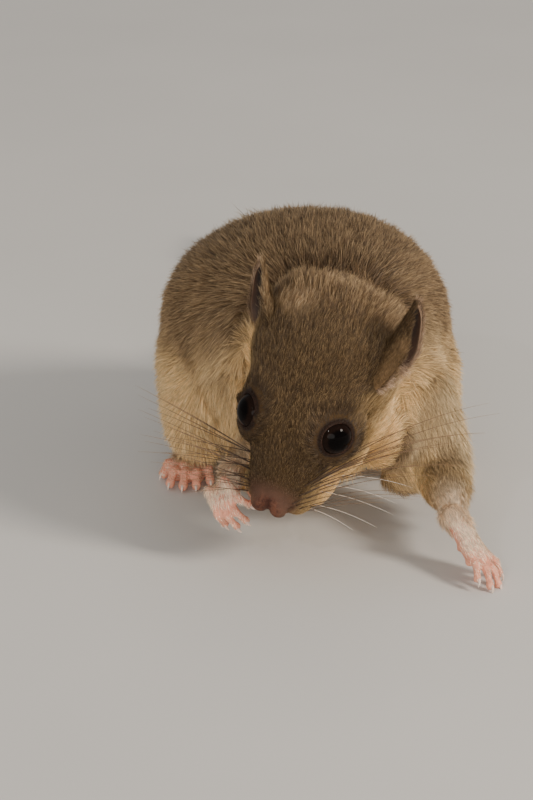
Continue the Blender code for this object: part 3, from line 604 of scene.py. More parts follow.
def normals_of(mesh):
    return read(mesh.vertex_normals, "vector", 3).astype(float)


def edges_of(mesh):
    return read(mesh.edges, "vertices", 2, np.int32)


def paint(mesh, name, values):
    """Stores a colour or a number for each point of the mesh."""
    if values.ndim == 2:
        layer = mesh.attributes.new(name, "FLOAT_COLOR", "POINT")
        rgba = np.ones((len(values), 4), np.float32)
        rgba[:, :3] = values
        layer.data.foreach_set("color", rgba.ravel())
    else:
        layer = mesh.attributes.new(name, "FLOAT", "POINT")
        layer.data.foreach_set("value", values.astype(np.float32))


def dress(obj, surface, slot, *solids):
    """Gives a piece its smooth shading and its material, and ties it to the frame."""
    mesh = obj.data
    mesh.polygons.foreach_set("use_smooth", np.ones(len(mesh.polygons), bool))
    mesh.materials.append(surface)
    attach(obj, "root")
    if solids:
        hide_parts(*solids)


def spread(values, edges, rounds, keep=0.5):
    """Smooths values over the mesh's edges."""
    count = len(values)
    first, second = edges.T
    degree = np.maximum(np.bincount(edges.ravel(), minlength=count), 1).astype(float)
    flat = values.astype(float).reshape(count, -1)
    for _ in range(rounds):
        total = np.empty_like(flat)
        for k, column in enumerate(flat.T):
            total[:, k] = np.bincount(first, column[second], count)
            total[:, k] += np.bincount(second, column[first], count)
        flat = keep * flat + (1 - keep) * total / degree[:, None]
    return flat.reshape(values.shape)


def ramp(value, low, high):
    """0 at low, 1 at high, smooth between."""
    t = np.clip((value - low) / (high - low), 0, 1)
    return t * t * (3 - 2 * t)


def mix(a, b, share):
    share = np.asarray(share)[..., None]
    return a * (1 - share) + b * share


def distance_to_line(points, line):
    """How far each point is from a polyline."""
    best = np.full(len(points), 1e9)
    line = np.asarray(line, float)
    for a, b in zip(line, line[1:]):
        way = b - a
        t = np.clip(((points - a) @ way) / max(way.dot(way), 1e-9), 0, 1)
        best = np.minimum(best, np.linalg.norm(points - a - t[:, None] * way, axis=1))
    return best


def distance(points, centre):
    """How far each point is from a place."""
    return np.linalg.norm(points - np.array(centre), axis=1)


def unit(vectors):
    return vectors / np.maximum(np.linalg.norm(vectors, axis=1), 1e-9)[:, None]


def turned(way, other, angle):
    """One direction turned towards another by an angle for each row."""
    return way * np.cos(angle)[:, None] + other * np.sin(angle)[:, None]


def along_skin(way, normals):
    """The part of each direction that runs along the skin, with length 1."""
    return unit(way - (way * normals).sum(1)[:, None] * normals)


def tree_of(points):
    """A tree that finds the nearest of the points."""
    made = KDTree(len(points))
    for i, point in enumerate(points):
        made.insert(point, i)
    made.balance()
    return made


# Regions of the body, by the nearest solid


def region_tree():
    """A tree of points on the solids' surfaces, and the region of each."""
    points, regions = [], []
    for name, node in frame["nodes"].items():
        found = [i for i, region in enumerate(REGIONS) if name.startswith(region)]
        if found:
            centres = read(node.data.polygons, "center", 3) / MM - FRAME_SHIFT
            points += [centres, points_of(node.data)]
            regions += [found[0]] * (len(centres) + len(points[-1]))
    return tree_of(np.vstack(points)), np.array(regions)


solids_tree, region_of = region_tree()


def region_weights(points, edges, rounds):
    """How far each point belongs to each region, blended across their borders."""
    near = np.array([region_of[solids_tree.find(p)[1]] for p in points])
    return spread(np.eye(len(REGIONS))[near], edges, rounds)


def shares(weights):
    """The same by the region's name."""
    return {region: weights[:, i] for i, region in enumerate(REGIONS)}


def coat_value(weights, column):
    return weights @ np.array([COAT[r][column] for r in REGIONS])


# Head features, in the head's frame

MOUTH = [
    (0.0, -33.2, -4.4),
    (1.8, -32.9, -5.6),
    (4.0, -31.2, -7.4),
    (5.6, -28.4, -8.6),
    (6.6, -25.4, -9.0),
    (7.4, -22.6, -8.2),
]
NOSTRIL = [(2.6, NOSE_Y - 0.6, -0.6), (3.9, NOSE_Y + 0.3, -0.4), (4.7, NOSE_Y + 1.9, 0.9)]
GROOVE = [
    (0, NOSE_Y + 2.4, 3.2),
    (0, NOSE_Y + 0.2, 1.6),
    (0, NOSE_Y - 0.2, -1.0),
    (0, NOSE_Y + 1.8, -4.4),
]
# How the nostrils, the groove, the mouth and the lip's edge are pressed in: line, depth and width
FACE_LINES = [
    (MOUTH, 0.85, 0.5),
    (NOSTRIL, 1.3, 0.55),
    (GROOVE, 0.5, 0.42),
    (np.array(MOUTH) + np.array([0.2, -0.3, 1.0]), -0.28, 0.7),
]


def folded(local):
    """Points in the head's frame with its right half laid on the left one."""
    return np.column_stack([np.abs(local[:, 0]), local[:, 1:]])


def head_depth(local):
    """How deep the skin lies under the head's fur."""
    depth = COAT["head"][DEPTH] * ramp(local[:, 1], NOSE_Y + 4.0, -10.0)
    nose = distance(local, [0, NOSE_Y, -0.5])
    return depth * ramp(nose, 2.5, 6.0) * ramp(eye_distance(local), 0.5, 7.0)


def eye_distance(local):
    """Distance of points from the rim of the nearer eye's opening, along the skin."""
    best = np.full(len(local), 1e9)
    for side in (-1, 1):
        centre, axis = (np.array(part) for part in eye_frame(side))
        offset = local - centre - axis * LID_OFFSET
        along = offset @ axis
        across = np.linalg.norm(offset - along[:, None] * axis, axis=1)
        near = np.where(np.abs(along) < 5.0, across - LID_RADIUS, 1e9)
        best = np.minimum(best, near)
    return best


def head_flesh():
    """The head's forms and the mounds under the eyelids, sunk by the depth of the short coat."""
    pieces = [loft(HEAD, power=2.1, steps=7, sides=56)]
    forms = [CHIN_FORM]
    for side in (-1, 1):
        forms += [((x * side, y, z), radii) for (x, y, z), radii in HEAD_FORMS]
        # A low mound carries the eyelids
        centre, axis = eye_frame(side)
        points, faces = ellipsoid((0, 0, 0), EYE_MOUND)
        pieces.append((aimed(points, axis) + np.array(centre - axis * MOUND_SUNK), faces))
    pieces += [ellipsoid(c, r) for c, r in forms]
    points, faces = joined(pieces)
    obj = to_object("head_flesh", from_head(points), faces)
    applied(obj, "REMESH", mode="VOXEL", voxel_size=HEAD_VOXEL * MM)
    applied(obj, "SMOOTH", factor=0.5, iterations=HEAD_SMOOTHING)
    mesh = obj.data
    points, normals = points_of(mesh), normals_of(mesh)
    local = to_head(points)
    set_points(mesh, points - normals * head_depth(local)[:, None])
    return obj


def carve_face(mesh):
    """Presses the nostrils, the groove of the lip and the line of the mouth into the skin."""
    points, normals = points_of(mesh), normals_of(mesh)
    local = to_head(points)
    depth = np.zeros(len(points))
    for line, deep, wide in FACE_LINES:
        depth += deep * np.exp(-((distance_to_line(folded(local), line) / wide) ** 2))
    near = (local[:, 1] < -14) & (np.abs(local[:, 0]) < 14)
    set_points(mesh, points - normals * (depth * near)[:, None])


def ear_frame(side):
    """An ear's root, the way it points, the way it opens and the way to its upper wall."""
    ear = EARS[side]
    axis = ear["axis"]
    opening = (ear["opening"] - axis * ear["opening"].dot(axis)).normalized()
    upper = axis.cross(opening) * (-1 if axis.cross(opening).z < 0 else 1)
    return ear["root"] - axis * EAR_SUNK, axis, opening, upper


def ear_sheet(side, turns=33, steps=5):
    """The folded pinna's sheet: points, faces and each point's share along and across."""
    root, axis, opening, upper = ear_frame(side)
    points, shares = [], []
    upper_share, lower_share = EARS[side]["reach"]
    rows = smooth_rows(EAR_ROWS, steps)
    for u, near, far, gap in rows:
        centre = root + axis * (u * (EARS[side]["length"] + EAR_SUNK))
        for j in range(turns):
            v = -1 + 2 * j / (turns - 1)
            a = v * math.pi / 2
            wall = near * upper_share if v > 0 else far * lower_share
            reach = wall * (1 - math.cos(a))
            rim = 0.18 * math.sin(11 * u + 2.0 * v) * abs(v) ** 3
            points.append(centre + opening * (reach + rim) + upper * (gap / 2 * math.sin(a)))
            shares.append((u, v))
    return np.array(points), grid_faces(len(rows), turns, False), np.array(shares)


def foot_digits(knuckle, forward, across, up, rows, radius, drop, arch):
    """Fingers or toes with knobbly joints and a pad under each tip, and where their claws spring."""
    flesh, claws = [], []
    for offset, back, splay, length in rows:
        root = knuckle + across * offset - forward * back
        way = forward * math.cos(splay) + across * math.sin(splay)
        line = [root - way * 3.2 - up * 0.2, root + up * 0.1]
        radii = [radius * 1.15, radius * 1.12]
        for far, high, low, thick in DIGIT_BONES:
            line.append(root + way * (far * length) + up * (arch * high - drop * low))
            radii.append(radius * thick)
        flesh.append(tube(line, radii, sides=14))
        pad = line[-1] - up * (radius * 0.25) - way * (radius * 0.2)
        flesh.append(ellipsoid(pad, (radius * 0.95,) * 3, segments=14, rings=9))
        claws.append((line[-1] + way * radius * 0.7 + up * 0.25, way, -up))
    return flesh, claws


def hand_frame(arm):
    """A hand's directions: forward, across and up."""
    forward = (arm["tip"] - arm["knuckle"]).normalized()
    across = forward.cross(arm["up"]).normalized()
    return forward, across, across.cross(forward)


def forefoot_flesh(arm):
    forward, across, up = hand_frame(arm)
    palm = arm["knuckle"] - arm["wrist"]
    back = arm["wrist"] - palm.normalized() * 2.5
    pieces = [tube([back, arm["wrist"], arm["knuckle"]], [2.3, 2.1, 1.9], sides=18)]
    for share in (-1.3, 0.0, 1.3):
        end = arm["knuckle"] + across * share - up * 0.3
        middle = (arm["wrist"] + end) / 2
        pieces.append(tube([arm["wrist"], middle, end], [1.9, 1.9, 1.65], sides=16))
    for share, along in PALM_PADS:
        centre = arm["knuckle"] + across * share + forward * along - up * 1.3
        pieces.append(ellipsoid(centre, (1.0, 1.0, 0.8), segments=14, rings=9))
    length = (arm["tip"] - arm["knuckle"]).length
    rows = [(o, b, a, f * length) for o, b, a, f in FORE_DIGITS]
    flesh, claws = foot_digits(
        arm["knuckle"], forward, across, up, rows, FINGER_RADIUS, arm["curl"], arm["arch"]
    )
    return pieces + flesh, claws


def hindfoot_flesh(spec):
    heel, toe, side = spec["heel"], spec["toe"], spec["side"]
    forward = toe - heel
    forward = Vector((forward.x, forward.y, 0)).normalized()
    across = Vector((-forward.y, forward.x, 0)) * -side
    up = Vector((0, 0, 1))
    middle = (heel + toe) / 2
    pieces = [tube([heel, middle + up * 0.5, toe], [3.0, 3.2, 2.7], sides=20)]
    for share, radius in ((-2.6, 2.0), (0.0, 2.3), (2.6, 2.0)):
        line = [middle + across * share * 0.4, toe + across * share]
        pieces.append(tube([line[0], (line[0] + line[1]) / 2, line[1]], [2.4, 2.3, radius]))
    for offset, back, size in SOLE_PADS:
        centre = toe + across * offset - forward * back
        centre.z = size * 0.62
        pieces.append(ellipsoid(centre, (size, size * 1.2, size * 0.85), segments=16, rings=10))
    flesh, claws = foot_digits(toe, forward, across, up, HIND_DIGITS, TOE_RADIUS, 1.0, 0.7)
    return pieces + flesh, claws


def frame_flesh():
    """The trunk and limbs from the solids, made smooth and sunk by the coat's depth."""
    pieces = []
    for name, node in frame["nodes"].items():
        if name.split("_")[0] in ("torso", "neck", "head", "thigh", "shank", "upper", "lower"):
            mesh = node.data
            faces = [tuple(p.vertices) for p in mesh.polygons]
            pieces.append((points_of(mesh), faces))
    pieces += [ellipsoid(c, r) for c, r in CHEST_FORMS]
    points, faces = joined(pieces)
    obj = to_object("body_flesh", points, faces)
    applied(obj, "REMESH", mode="VOXEL", voxel_size=BODY_VOXEL * MM)
    applied(obj, "SMOOTH", factor=0.5, iterations=BODY_SMOOTHING)
    mesh = obj.data
    points, normals, edges = points_of(mesh), normals_of(mesh), edges_of(mesh)
    weights = region_weights(points, edges, 12)
    depth = coat_value(weights, 1)
    inner = spread(points, edges, 6)
    sunk = inner - normals * depth[:, None]
    # The right flank is full behind the shoulder
    x, y, z = sunk.T
    swell = ramp(-x, 10.0, 26.0) * ramp(z, 20.0, 34.0) * ramp(-z, -58.0, -46.0)
    swell = swell * ramp(y, 2.0, 20.0) * ramp(-y, -62.0, -50.0)
    sunk[:, 0] -= FLANK_SWELL * swell
    set_points(mesh, sunk)
    return obj


def make_skin():
    """One closed skin of trunk, limbs, head, feet and the tail's core."""
    tail = [(r[1], r[0], r[2], r[5], r[6]) for r in TAIL]
    pieces = [loft(tail, steps=5, sides=28)]
    claws = []
    limbs = [forefoot_flesh(arm) for arm in ARMS] + [hindfoot_flesh(spec) for spec in HIND_FEET]
    for flesh, tips in limbs:
        pieces += flesh
        claws += tips
    for side in (-1, 1):
        root, axis, opening, _ = ear_frame(side)
        core = np.array(from_head([root + axis * 2.4 + opening * 1.2])[0])
        pieces.append(ellipsoid(core, (2.7, 2.7, 2.7)))
    for flesh in (frame_flesh(), head_flesh()):
        mesh = flesh.data
        pieces.append((points_of(mesh), [tuple(p.vertices) for p in mesh.polygons]))
        bpy.data.objects.remove(flesh)
    points, faces = joined(pieces)
    skin = to_object("skin", points, faces)
    applied(skin, "REMESH", mode="VOXEL", voxel_size=SKIN_VOXEL * MM)
    applied(skin, "SMOOTH", factor=0.5, iterations=SKIN_SMOOTHING)
    carve_face(skin.data)
    points = points_of(skin.data)
    points[:, 2] = np.maximum(points[:, 2], SKIN_LOW)
    set_points(skin.data, points)
    return with_lids(skin), claws


def with_lids(skin):
    """Adds the fine rims of the eyelids to the skin's mesh."""
    parts = [skin]
    for side in (-1, 1):
        centre, axis = eye_frame(side)
        centre = centre + axis * LID_OFFSET
        points, faces = lid_ring(centre, axis, LID_RADIUS, LID_THICKNESS, LID_SKIRT)
        parts.append(to_object("lid", from_head(points), faces))
    with bpy.context.temp_override(active_object=skin, selected_editable_objects=parts):
        bpy.ops.object.join()
    return skin


# Markings: one rule for the skin and for the coat's tufts


def waves(points, scale, seed, count=10):
    """Smooth noise between about -1 and 1 from a sum of waves in random directions."""
    draw = np.random.default_rng(seed)
    ways = draw.normal(size=(count, 3))
    ways *= draw.uniform(0.6, 1.5, (count, 1)) / np.linalg.norm(ways, axis=1)[:, None] / scale
    turns = draw.uniform(0, 2 * math.pi, count)
    return np.sin(points @ ways.T * 2 * math.pi + turns).sum(1) / math.sqrt(count / 2) * 0.6


def capsule(points, a, b):
    """Share along a line and distance from it."""
    a, b = np.array(a, float), np.array(b, float)
    way = b - a
    t = np.clip(((points - a) @ way) / way.dot(way), 0, 1)
    return t, np.linalg.norm(points - a - t[:, None] * way, axis=1)


def head_masks(local):
    """How far points in the head's frame are from the eyes' rims, the nose and the lips."""
    half = folded(local)
    nose = np.linalg.norm((local - [0, NOSE_Y + 1.6, 0.9]) / [1.22, 1.25, 1.1], axis=1)
    lips = distance_to_line(half, MOUTH)
    return {"rim": eye_distance(local), "nose": nose, "lips": lips, "half": half}


def face_markings(points, patch, masks):
    """The face's colour and that of its tips: olive brown above, warm cream from the cheek down."""
    local = to_head(points)
    face = mix(HEAD_BROWN, HEAD_BROWN * 0.85, ramp(patch, -0.5, 0.7))
    tips = np.tile(HEAD_TIP, (len(points), 1))
    edge = local[:, 2] + 0.12 * local[:, 1] + 0.9 * waves(points, 7.0, 6)
    edge = edge + 1.8 * ramp(-local[:, 1], 9.0, 19.0)
    cheek = np.maximum(ramp(-edge, 2.6, 8.0), 0.45 * ramp(-edge, -0.8, 3.6))
    temple = ramp(-edge, -6.5, 0.0) * ramp(local[:, 1], -15.0, -7.0)
    cheek = np.maximum(cheek, 0.4 * temple)
    face, tips = mix(face, CHEEK_CREAM, cheek), mix(tips, CREAM_TIP, cheek)
    # Painted highlight: a pale patch behind the right ear's root, where light grazes the crown
    crown_highlight = np.linalg.norm((local - [-8.0, 8.8, 9.0]) / [1.3, 1.0, 1.4], axis=1)
    crown_highlight = ramp(-crown_highlight + 0.9 * waves(points, 4.0, 16), -6.5, -1.5)
    face, tips = mix(face, EAR_WARM, crown_highlight * 0.6), mix(tips, CREAM_TIP, crown_highlight * 0.75)
    # The pad that carries the whiskers is darker
    _, near_pad = capsule(masks["half"], (4.6, -27.5, -1.4), (7.6, -20.0, 0.6))
    face = mix(face, HEAD_BROWN * 0.7, ramp(-near_pad, -4.2, -1.6) * 0.3)
    # A dark ring round each eye runs a little towards the nose
    ring = ramp(-masks["rim"], -1.3, -0.3)
    streak = ramp(-masks["rim"], -4.5, -1.2) * ramp(-local[:, 1], 12.5, 17.0)
    face = mix(face, EYE_RING, np.maximum(ring * 0.95, streak * 0.3))
    tips = mix(tips, EYE_RING * 1.3, np.maximum(ring * 0.92, streak * 0.25))
    snout = ramp(-masks["nose"], -6.2, -3.0)
    return mix(face, SNOUT, snout * 0.7), mix(tips, SNOUT_TIP, snout * 0.5)


def markings(points, normals, weights):
    """The coat's colour and that of its tips, from the animal's own regions."""
    share = shares(weights)
    x, y, z = points.T
    nx, ny, nz = normals.T
    body = 1 - share["head"]
    patch = waves(points, 9.0, 3) * 0.5 + waves(points, 3.2, 4) * 0.5
    colour = mix(BACK_GREY, BACK_GREY * 0.84, ramp(patch, -0.6, 0.8))
    tips = np.tile(BACK_TIP, (len(points), 1))
    # Belly, chest and throat are cream, with a soft edge along the flank
    low = z + 5.0 * nz + 1.6 * waves(points, 12.0, 5)
    trunk = share["torso"] + share["neck"] * 0.7
    under = ramp(-low, -16.5, -9.5) * trunk * ramp(-y, -66.0, -48.0)
    chest = ramp(-y - 0.35 * z, -9.0, 1.0) * ramp(-nz, -0.35, 0.25) * trunk
    # The flank in front of each thigh is cream well up the side
    flank = ramp(-np.abs(y - 2.0), -16.0, -8.0) * ramp(-z, -33.0, -25.0)
    cream = np.clip(np.maximum.reduce([under, chest, flank * trunk]), 0, 1)
    # Behind the cheeks the neck is pale, running into the chest
    neck = share["neck"] + share["torso"] * ramp(-y, -4.0, 6.0)
    ruff = neck * ramp(-z + 2.0 * waves(points, 9.0, 9), -46.0, -30.0)
    cream = np.maximum(cream, np.clip(ruff, 0, 1) * 0.85)
    # The forelegs are cream inside and buff outside, and so are the shoulders
    forelegs = np.clip(share["upper_foreleg"] + share["lower_foreleg"], 0, 1)
    arm_rim_highlight = {}
    for arm in ARMS:
        side = arm["side"]
        near = distance_to_line(points, [arm["shoulder"], arm["elbow"], arm["wrist"]])
        close = ramp(-near, -13.0, -7.0) * forelegs
        facing = -nx * side - 0.9 * ny - 0.1 * nz + 0.15 * waves(points, 7.0, 12)
        cream = np.maximum(cream, close * ramp(facing, *arm["cream"]))
        colour = mix(colour, ARM_BUFF, close * 0.75)
        shoulder = ramp(-distance(points, arm["shoulder"]), -18.0, -9.0)
        colour = mix(colour, ARM_BUFF, shoulder * trunk * 0.6)
        # Painted highlight: each arm's outward side is pale where light grazes it; only the left
        # arm's is used
        arm_rim_highlight[side] = close * ramp(nx * side, 0.55, 0.95) * 0.5
    # The hind legs are cream inside and low in front
    legs = np.clip(share["thigh"] + share["shank"], 0, 1)
    high = -z - 2.5 * waves(points, 10.0, 8)
    front = ramp(-ny, -0.25, 0.5) * ramp(high, -40.0, -29.0) * 0.78
    for side in (1, -1):
        ours = np.maximum(legs, trunk) * ramp(x * side, 8.0, 14.0)
        inner = ramp(-nx * side, -0.2, 0.45) * legs
        cream = np.maximum(cream, ours * np.maximum(inner, front))
    # The right flank is pale between arm and thigh, and the upward-facing middle of the back is dark:
    # partly its own darker line, partly painted shade
    between = ramp(-x, 8.0, 14.0) * ramp(-z, -38.0, -28.0)
    between = between * ramp(-np.abs(y - 2.0), -20.0, -12.0)
    cream = np.clip(np.maximum(cream, between * body * 0.66), 0, 1)
    dark_back_and_shade = share["torso"] * ramp(nz, 0.45, 0.95) * ramp(z, 36.0, 56.0)
    belly = under * ramp(y, -8.0, 16.0)
    band = cream * (1 - cream) * 4
    # The left forearm has a dark patch in front; wrists, hands and feet are white
    spot = distance(points, FOREARM_PATCH) + 1.2 * waves(points, 6.0, 15)
    dark = ramp(-spot, -10.5, -3.5) * ramp(-ny, 0.1, 0.6) * body
    feet = np.clip(share["forefoot"] + share["hindfoot"], 0, 1)
    wrist = np.minimum(*(distance(points, arm["wrist"]) for arm in ARMS))
    pale = ramp(-wrist, -16.0, -4.0) * body
    tail = share["tail"]
    masks = head_masks(to_head(points))
    # What is laid over what: colour, colour of the tips and share
    for base, tip, part in (
        # The upward-facing top of the back: its own darker line and painted shade
        (BACK_GREY * 0.62, BACK_TIP * 0.7, dark_back_and_shade * 0.7),
        (CREAM, CREAM_TIP, cream),
        # Painted highlight on the left arm's outward side
        (CREAM_TIP, CREAM_TIP, arm_rim_highlight[1]),
        (WHITE_FUR, None, belly * 0.55),
        (SOFT_OCHRE, None, band * 0.3),
        (BACK_GREY * 0.8, None, dark * 0.6),
        (HAND_FUR, HAND_FUR, feet),
        (HAND_FUR, HAND_FUR, pale * 0.9),
        (TAIL_GREY, TAIL_TIP, tail),
        # The tail has a paler line below
        (WHITE_FUR, None, tail * ramp(-nz, 0.5, 0.95) * 0.75),
        (*face_markings(points, patch, masks), share["head"]),
    ):
        colour = mix(colour, base, part)
        tips = tips if tip is None else mix(tips, tip, part)
    return colour, tips, masks


# The lie, length and density of the coat


def lie_of_coat(points, normals, weights, edges):
    """The direction in which the fur lies at each point, along the skin."""
    share = {region: part[:, None] for region, part in shares(weights).items()}
    down = np.array([0, 0, -1.0])
    body = np.array([0, 1.0, 0]) + down * (0.25 + 0.5 * np.abs(normals[:, 0:1]))
    head_back = head_matrix @ np.array([0, 1.0, 0.0])
    head_down = head_matrix @ np.array([0, 0.2, -1.0])
    local = to_head(points)
    low = ramp(-local[:, 2], 2.0, 10.0)[:, None]
    head = head_back * (1 - 0.35 * low) + head_down * 0.5 * low
    way = share["torso"] * body + share["neck"] * (0.6 * head_back + 0.6 * body)
    way = way + share["head"] * head
    chest = ramp(-normals[:, 1], 0.2, 0.8)[:, None] * share["torso"]
    way = way * (1 - chest) + chest * np.array([0, 0.1, -1.0])
    way = way + share["thigh"] * np.array([0, 0.75, -0.75])
    way = way + share["shank"] * np.array([0, 0.2, -1.0])
    for arm in ARMS:
        ours = ramp(points[:, 0] * arm["side"], -2.0, 6.0)[:, None]
        upper = np.array((arm["elbow"] - arm["shoulder"]).normalized())
        lower = np.array((arm["wrist"] - arm["elbow"]).normalized())
        hand = np.array((arm["tip"] - arm["wrist"]).normalized())
        way = way + ours * (
            share["upper_foreleg"] * (upper + lower * 0.2)
            + share["lower_foreleg"] * lower
            + share["forefoot"] * hand
        )
    way = way + share["hindfoot"] * np.array([0, -1.0, -0.1])
    # On the tail it runs back and out to both sides of the tail's line
    line = np.array(TAIL)[:, :3]
    slope = unit(np.gradient(line, axis=0))
    middle, back = (
        np.array([np.interp(points[:, 1], line[:, 1], of[:, k]) for k in range(3)]).T
        for of in (line, slope)
    )
    out = (points - middle) * [1, 0, 1]
    out = unit(out) * [1, 0, 0.45]
    way = way + share["tail"] * (back + 0.72 * out)
    # Round each eye the fur parts, and it turns outwards round each ear
    for side in (-1, 1):
        centre, axis = (np.array(part) for part in eye_frame(side))
        away = local - centre
        away = away - (away @ axis)[:, None] * axis
        away /= np.maximum(np.linalg.norm(away, axis=1), 1e-6)[:, None]
        near = ramp(-eye_distance(local), -4.5, -0.5)[:, None]
        ours = (local[:, 0:1] * side > 0) * share["head"]
        way = way + 1.6 * near * ours * (away @ head_matrix.T)
    return along_skin(spread(along_skin(way, normals), edges, 10), normals)


def coat_fields(points, normals, weights, masks):
    """For each point: fur length, tuft width, tufts per square millimetre and lift in degrees."""
    columns = (LENGTH, WIDTH, DENSITY, LIFT)
    length, width, density, lift = (coat_value(weights, column) for column in columns)
    share = shares(weights)
    x, y, z = points.T
    head, forward = share["head"], to_head(points)[:, 1]
    rim, nose, lips = masks["rim"], masks["nose"], masks["lips"]
    length *= 1 - head + head * (0.30 + 0.70 * ramp(forward, -33.0, -8.0))
    length *= 1 - head * 0.62 * ramp(-rim, -2.4, -0.4)
    lift *= 1 - head * 0.6 * ramp(-rim, -2.5, -0.6)
    density *= 1 - head * ramp(-rim, -0.35, -0.12)
    density *= 1 - head * ramp(-nose, -3.1, -1.9)
    length *= 1 - 0.5 * head * ramp(-nose, -6.0, -3.4)
    density *= 1 - 0.9 * head * ramp(-lips, -0.75, -0.35)
    width *= 1 - head * 0.3 * ramp(-forward, 20.0, 30.0)
    # Palms and soles are bare, and the fur of the hands stops short of the claws
    fore, hind = share["forefoot"], share["hindfoot"]
    bare = ramp(-normals[:, 2], -0.1, 0.3) * hind
    for arm in ARMS:
        along, near = capsule(points, arm["wrist"], arm["tip"])
        ours = (near < 8) * fore
        naked = np.maximum(palm_side(normals, arm), ramp(along, 0.93, 1.0))
        bare = np.maximum(bare, ours * naked)
        length *= 1 - 0.5 * ours * ramp(along, 0.4, 0.8)
        inner = ramp(-normals[:, 0] * arm["side"], 0.2, 0.8)
        thin = np.maximum(0.78 * ramp(along, 0.25, 0.6), 0.75 * inner * ramp(along, -0.1, 0.3))
        density *= 1 - ours * thin
    for spec in HIND_FEET:
        toe = spec["toe"]
        ours = (np.abs(x - toe.x) < 9) * hind
        bare = np.maximum(bare, ramp(-y, -toe.y + 2.5, -toe.y + 6.5) * ours)
        length *= 1 - 0.4 * ours * ramp(-y, -toe.y - 4, -toe.y + 3)
    density *= 1 - np.clip(bare, 0, 1)
    # The left arm's outer hair is longer and stands off
    forelegs = np.clip(share["upper_foreleg"] + share["lower_foreleg"], 0, 1)
    outer = forelegs * ramp(normals[:, 0], 0.6, 0.95) * (x > 0)
    length, lift = length * (1 + 0.35 * outer), lift + 8 * outer
    # The tail's hair stands out to both sides and lies flatter above and below
    lift += share["tail"] * 27.0 * np.abs(normals[:, 0]) ** 1.3
    belly = ramp(-normals[:, 2], 0.55, 0.9) * ramp(-z, -9.0, -4.0)
    length *= 1 - 0.55 * belly * (1 - share["tail"])
    return length, width, density, lift


def palm_side(normals, arm):
    """1 on the palm's side of a forefoot and 0 on its back."""
    _, across, up = (np.array(way) for way in hand_frame(arm))
    thumb = across * arm["side"]
    return ramp(-(normals @ up) + 0.15 * (normals @ thumb), -0.05, 0.35)


def sample_roots(mesh, fields, density, share, seed):
    """Random places on the mesh by density: values of the fields there, and the UV of each."""
    mesh.calc_loop_triangles()
    triangles = mesh.loop_triangles
    corner = read(triangles, "vertices", 3, np.int32)
    loops = read(triangles, "loops", 3, np.int32)
    area = read(triangles, "area").astype(float) / MM / MM
    draw = np.random.default_rng(seed)
    wanted = area * density[corner].mean(1) * share
    number = np.floor(wanted + draw.random(len(area))).astype(int)
    face = np.repeat(np.arange(len(area)), number)
    a = np.sqrt(draw.random(len(face)))
    b = draw.random(len(face))
    part = np.stack([1 - a, a * (1 - b), a * b], 1)
    uv = read(mesh.uv_layers["OFBake"].data, "uv", 2)
    made = {"uv": (uv[loops[face]] * part[:, :, None]).sum(1)}
    for name, values in fields.items():
        picked = values[corner[face]]
        made[name] = (picked * (part if values.ndim == 1 else part[:, :, None])).sum(1)
    return made


def clumped(tips, roots, draw, every, pull):
    """Draws each tuft's tip towards that of the nearest of a few leading tufts."""
    count = len(roots)
    leaders = draw.choice(count, max(1, count // every), replace=False)
    near = tree_of(roots[leaders])
    own = leaders[[near.find(p)[1] for p in roots]]
    shift = (tips[own] - roots[own]) - (tips - roots)
    gather = roots[own] - roots
    strength = pull * draw.uniform(0.2, 1.0, count)[:, None]
    return tips + strength * (shift + gather * 0.85)


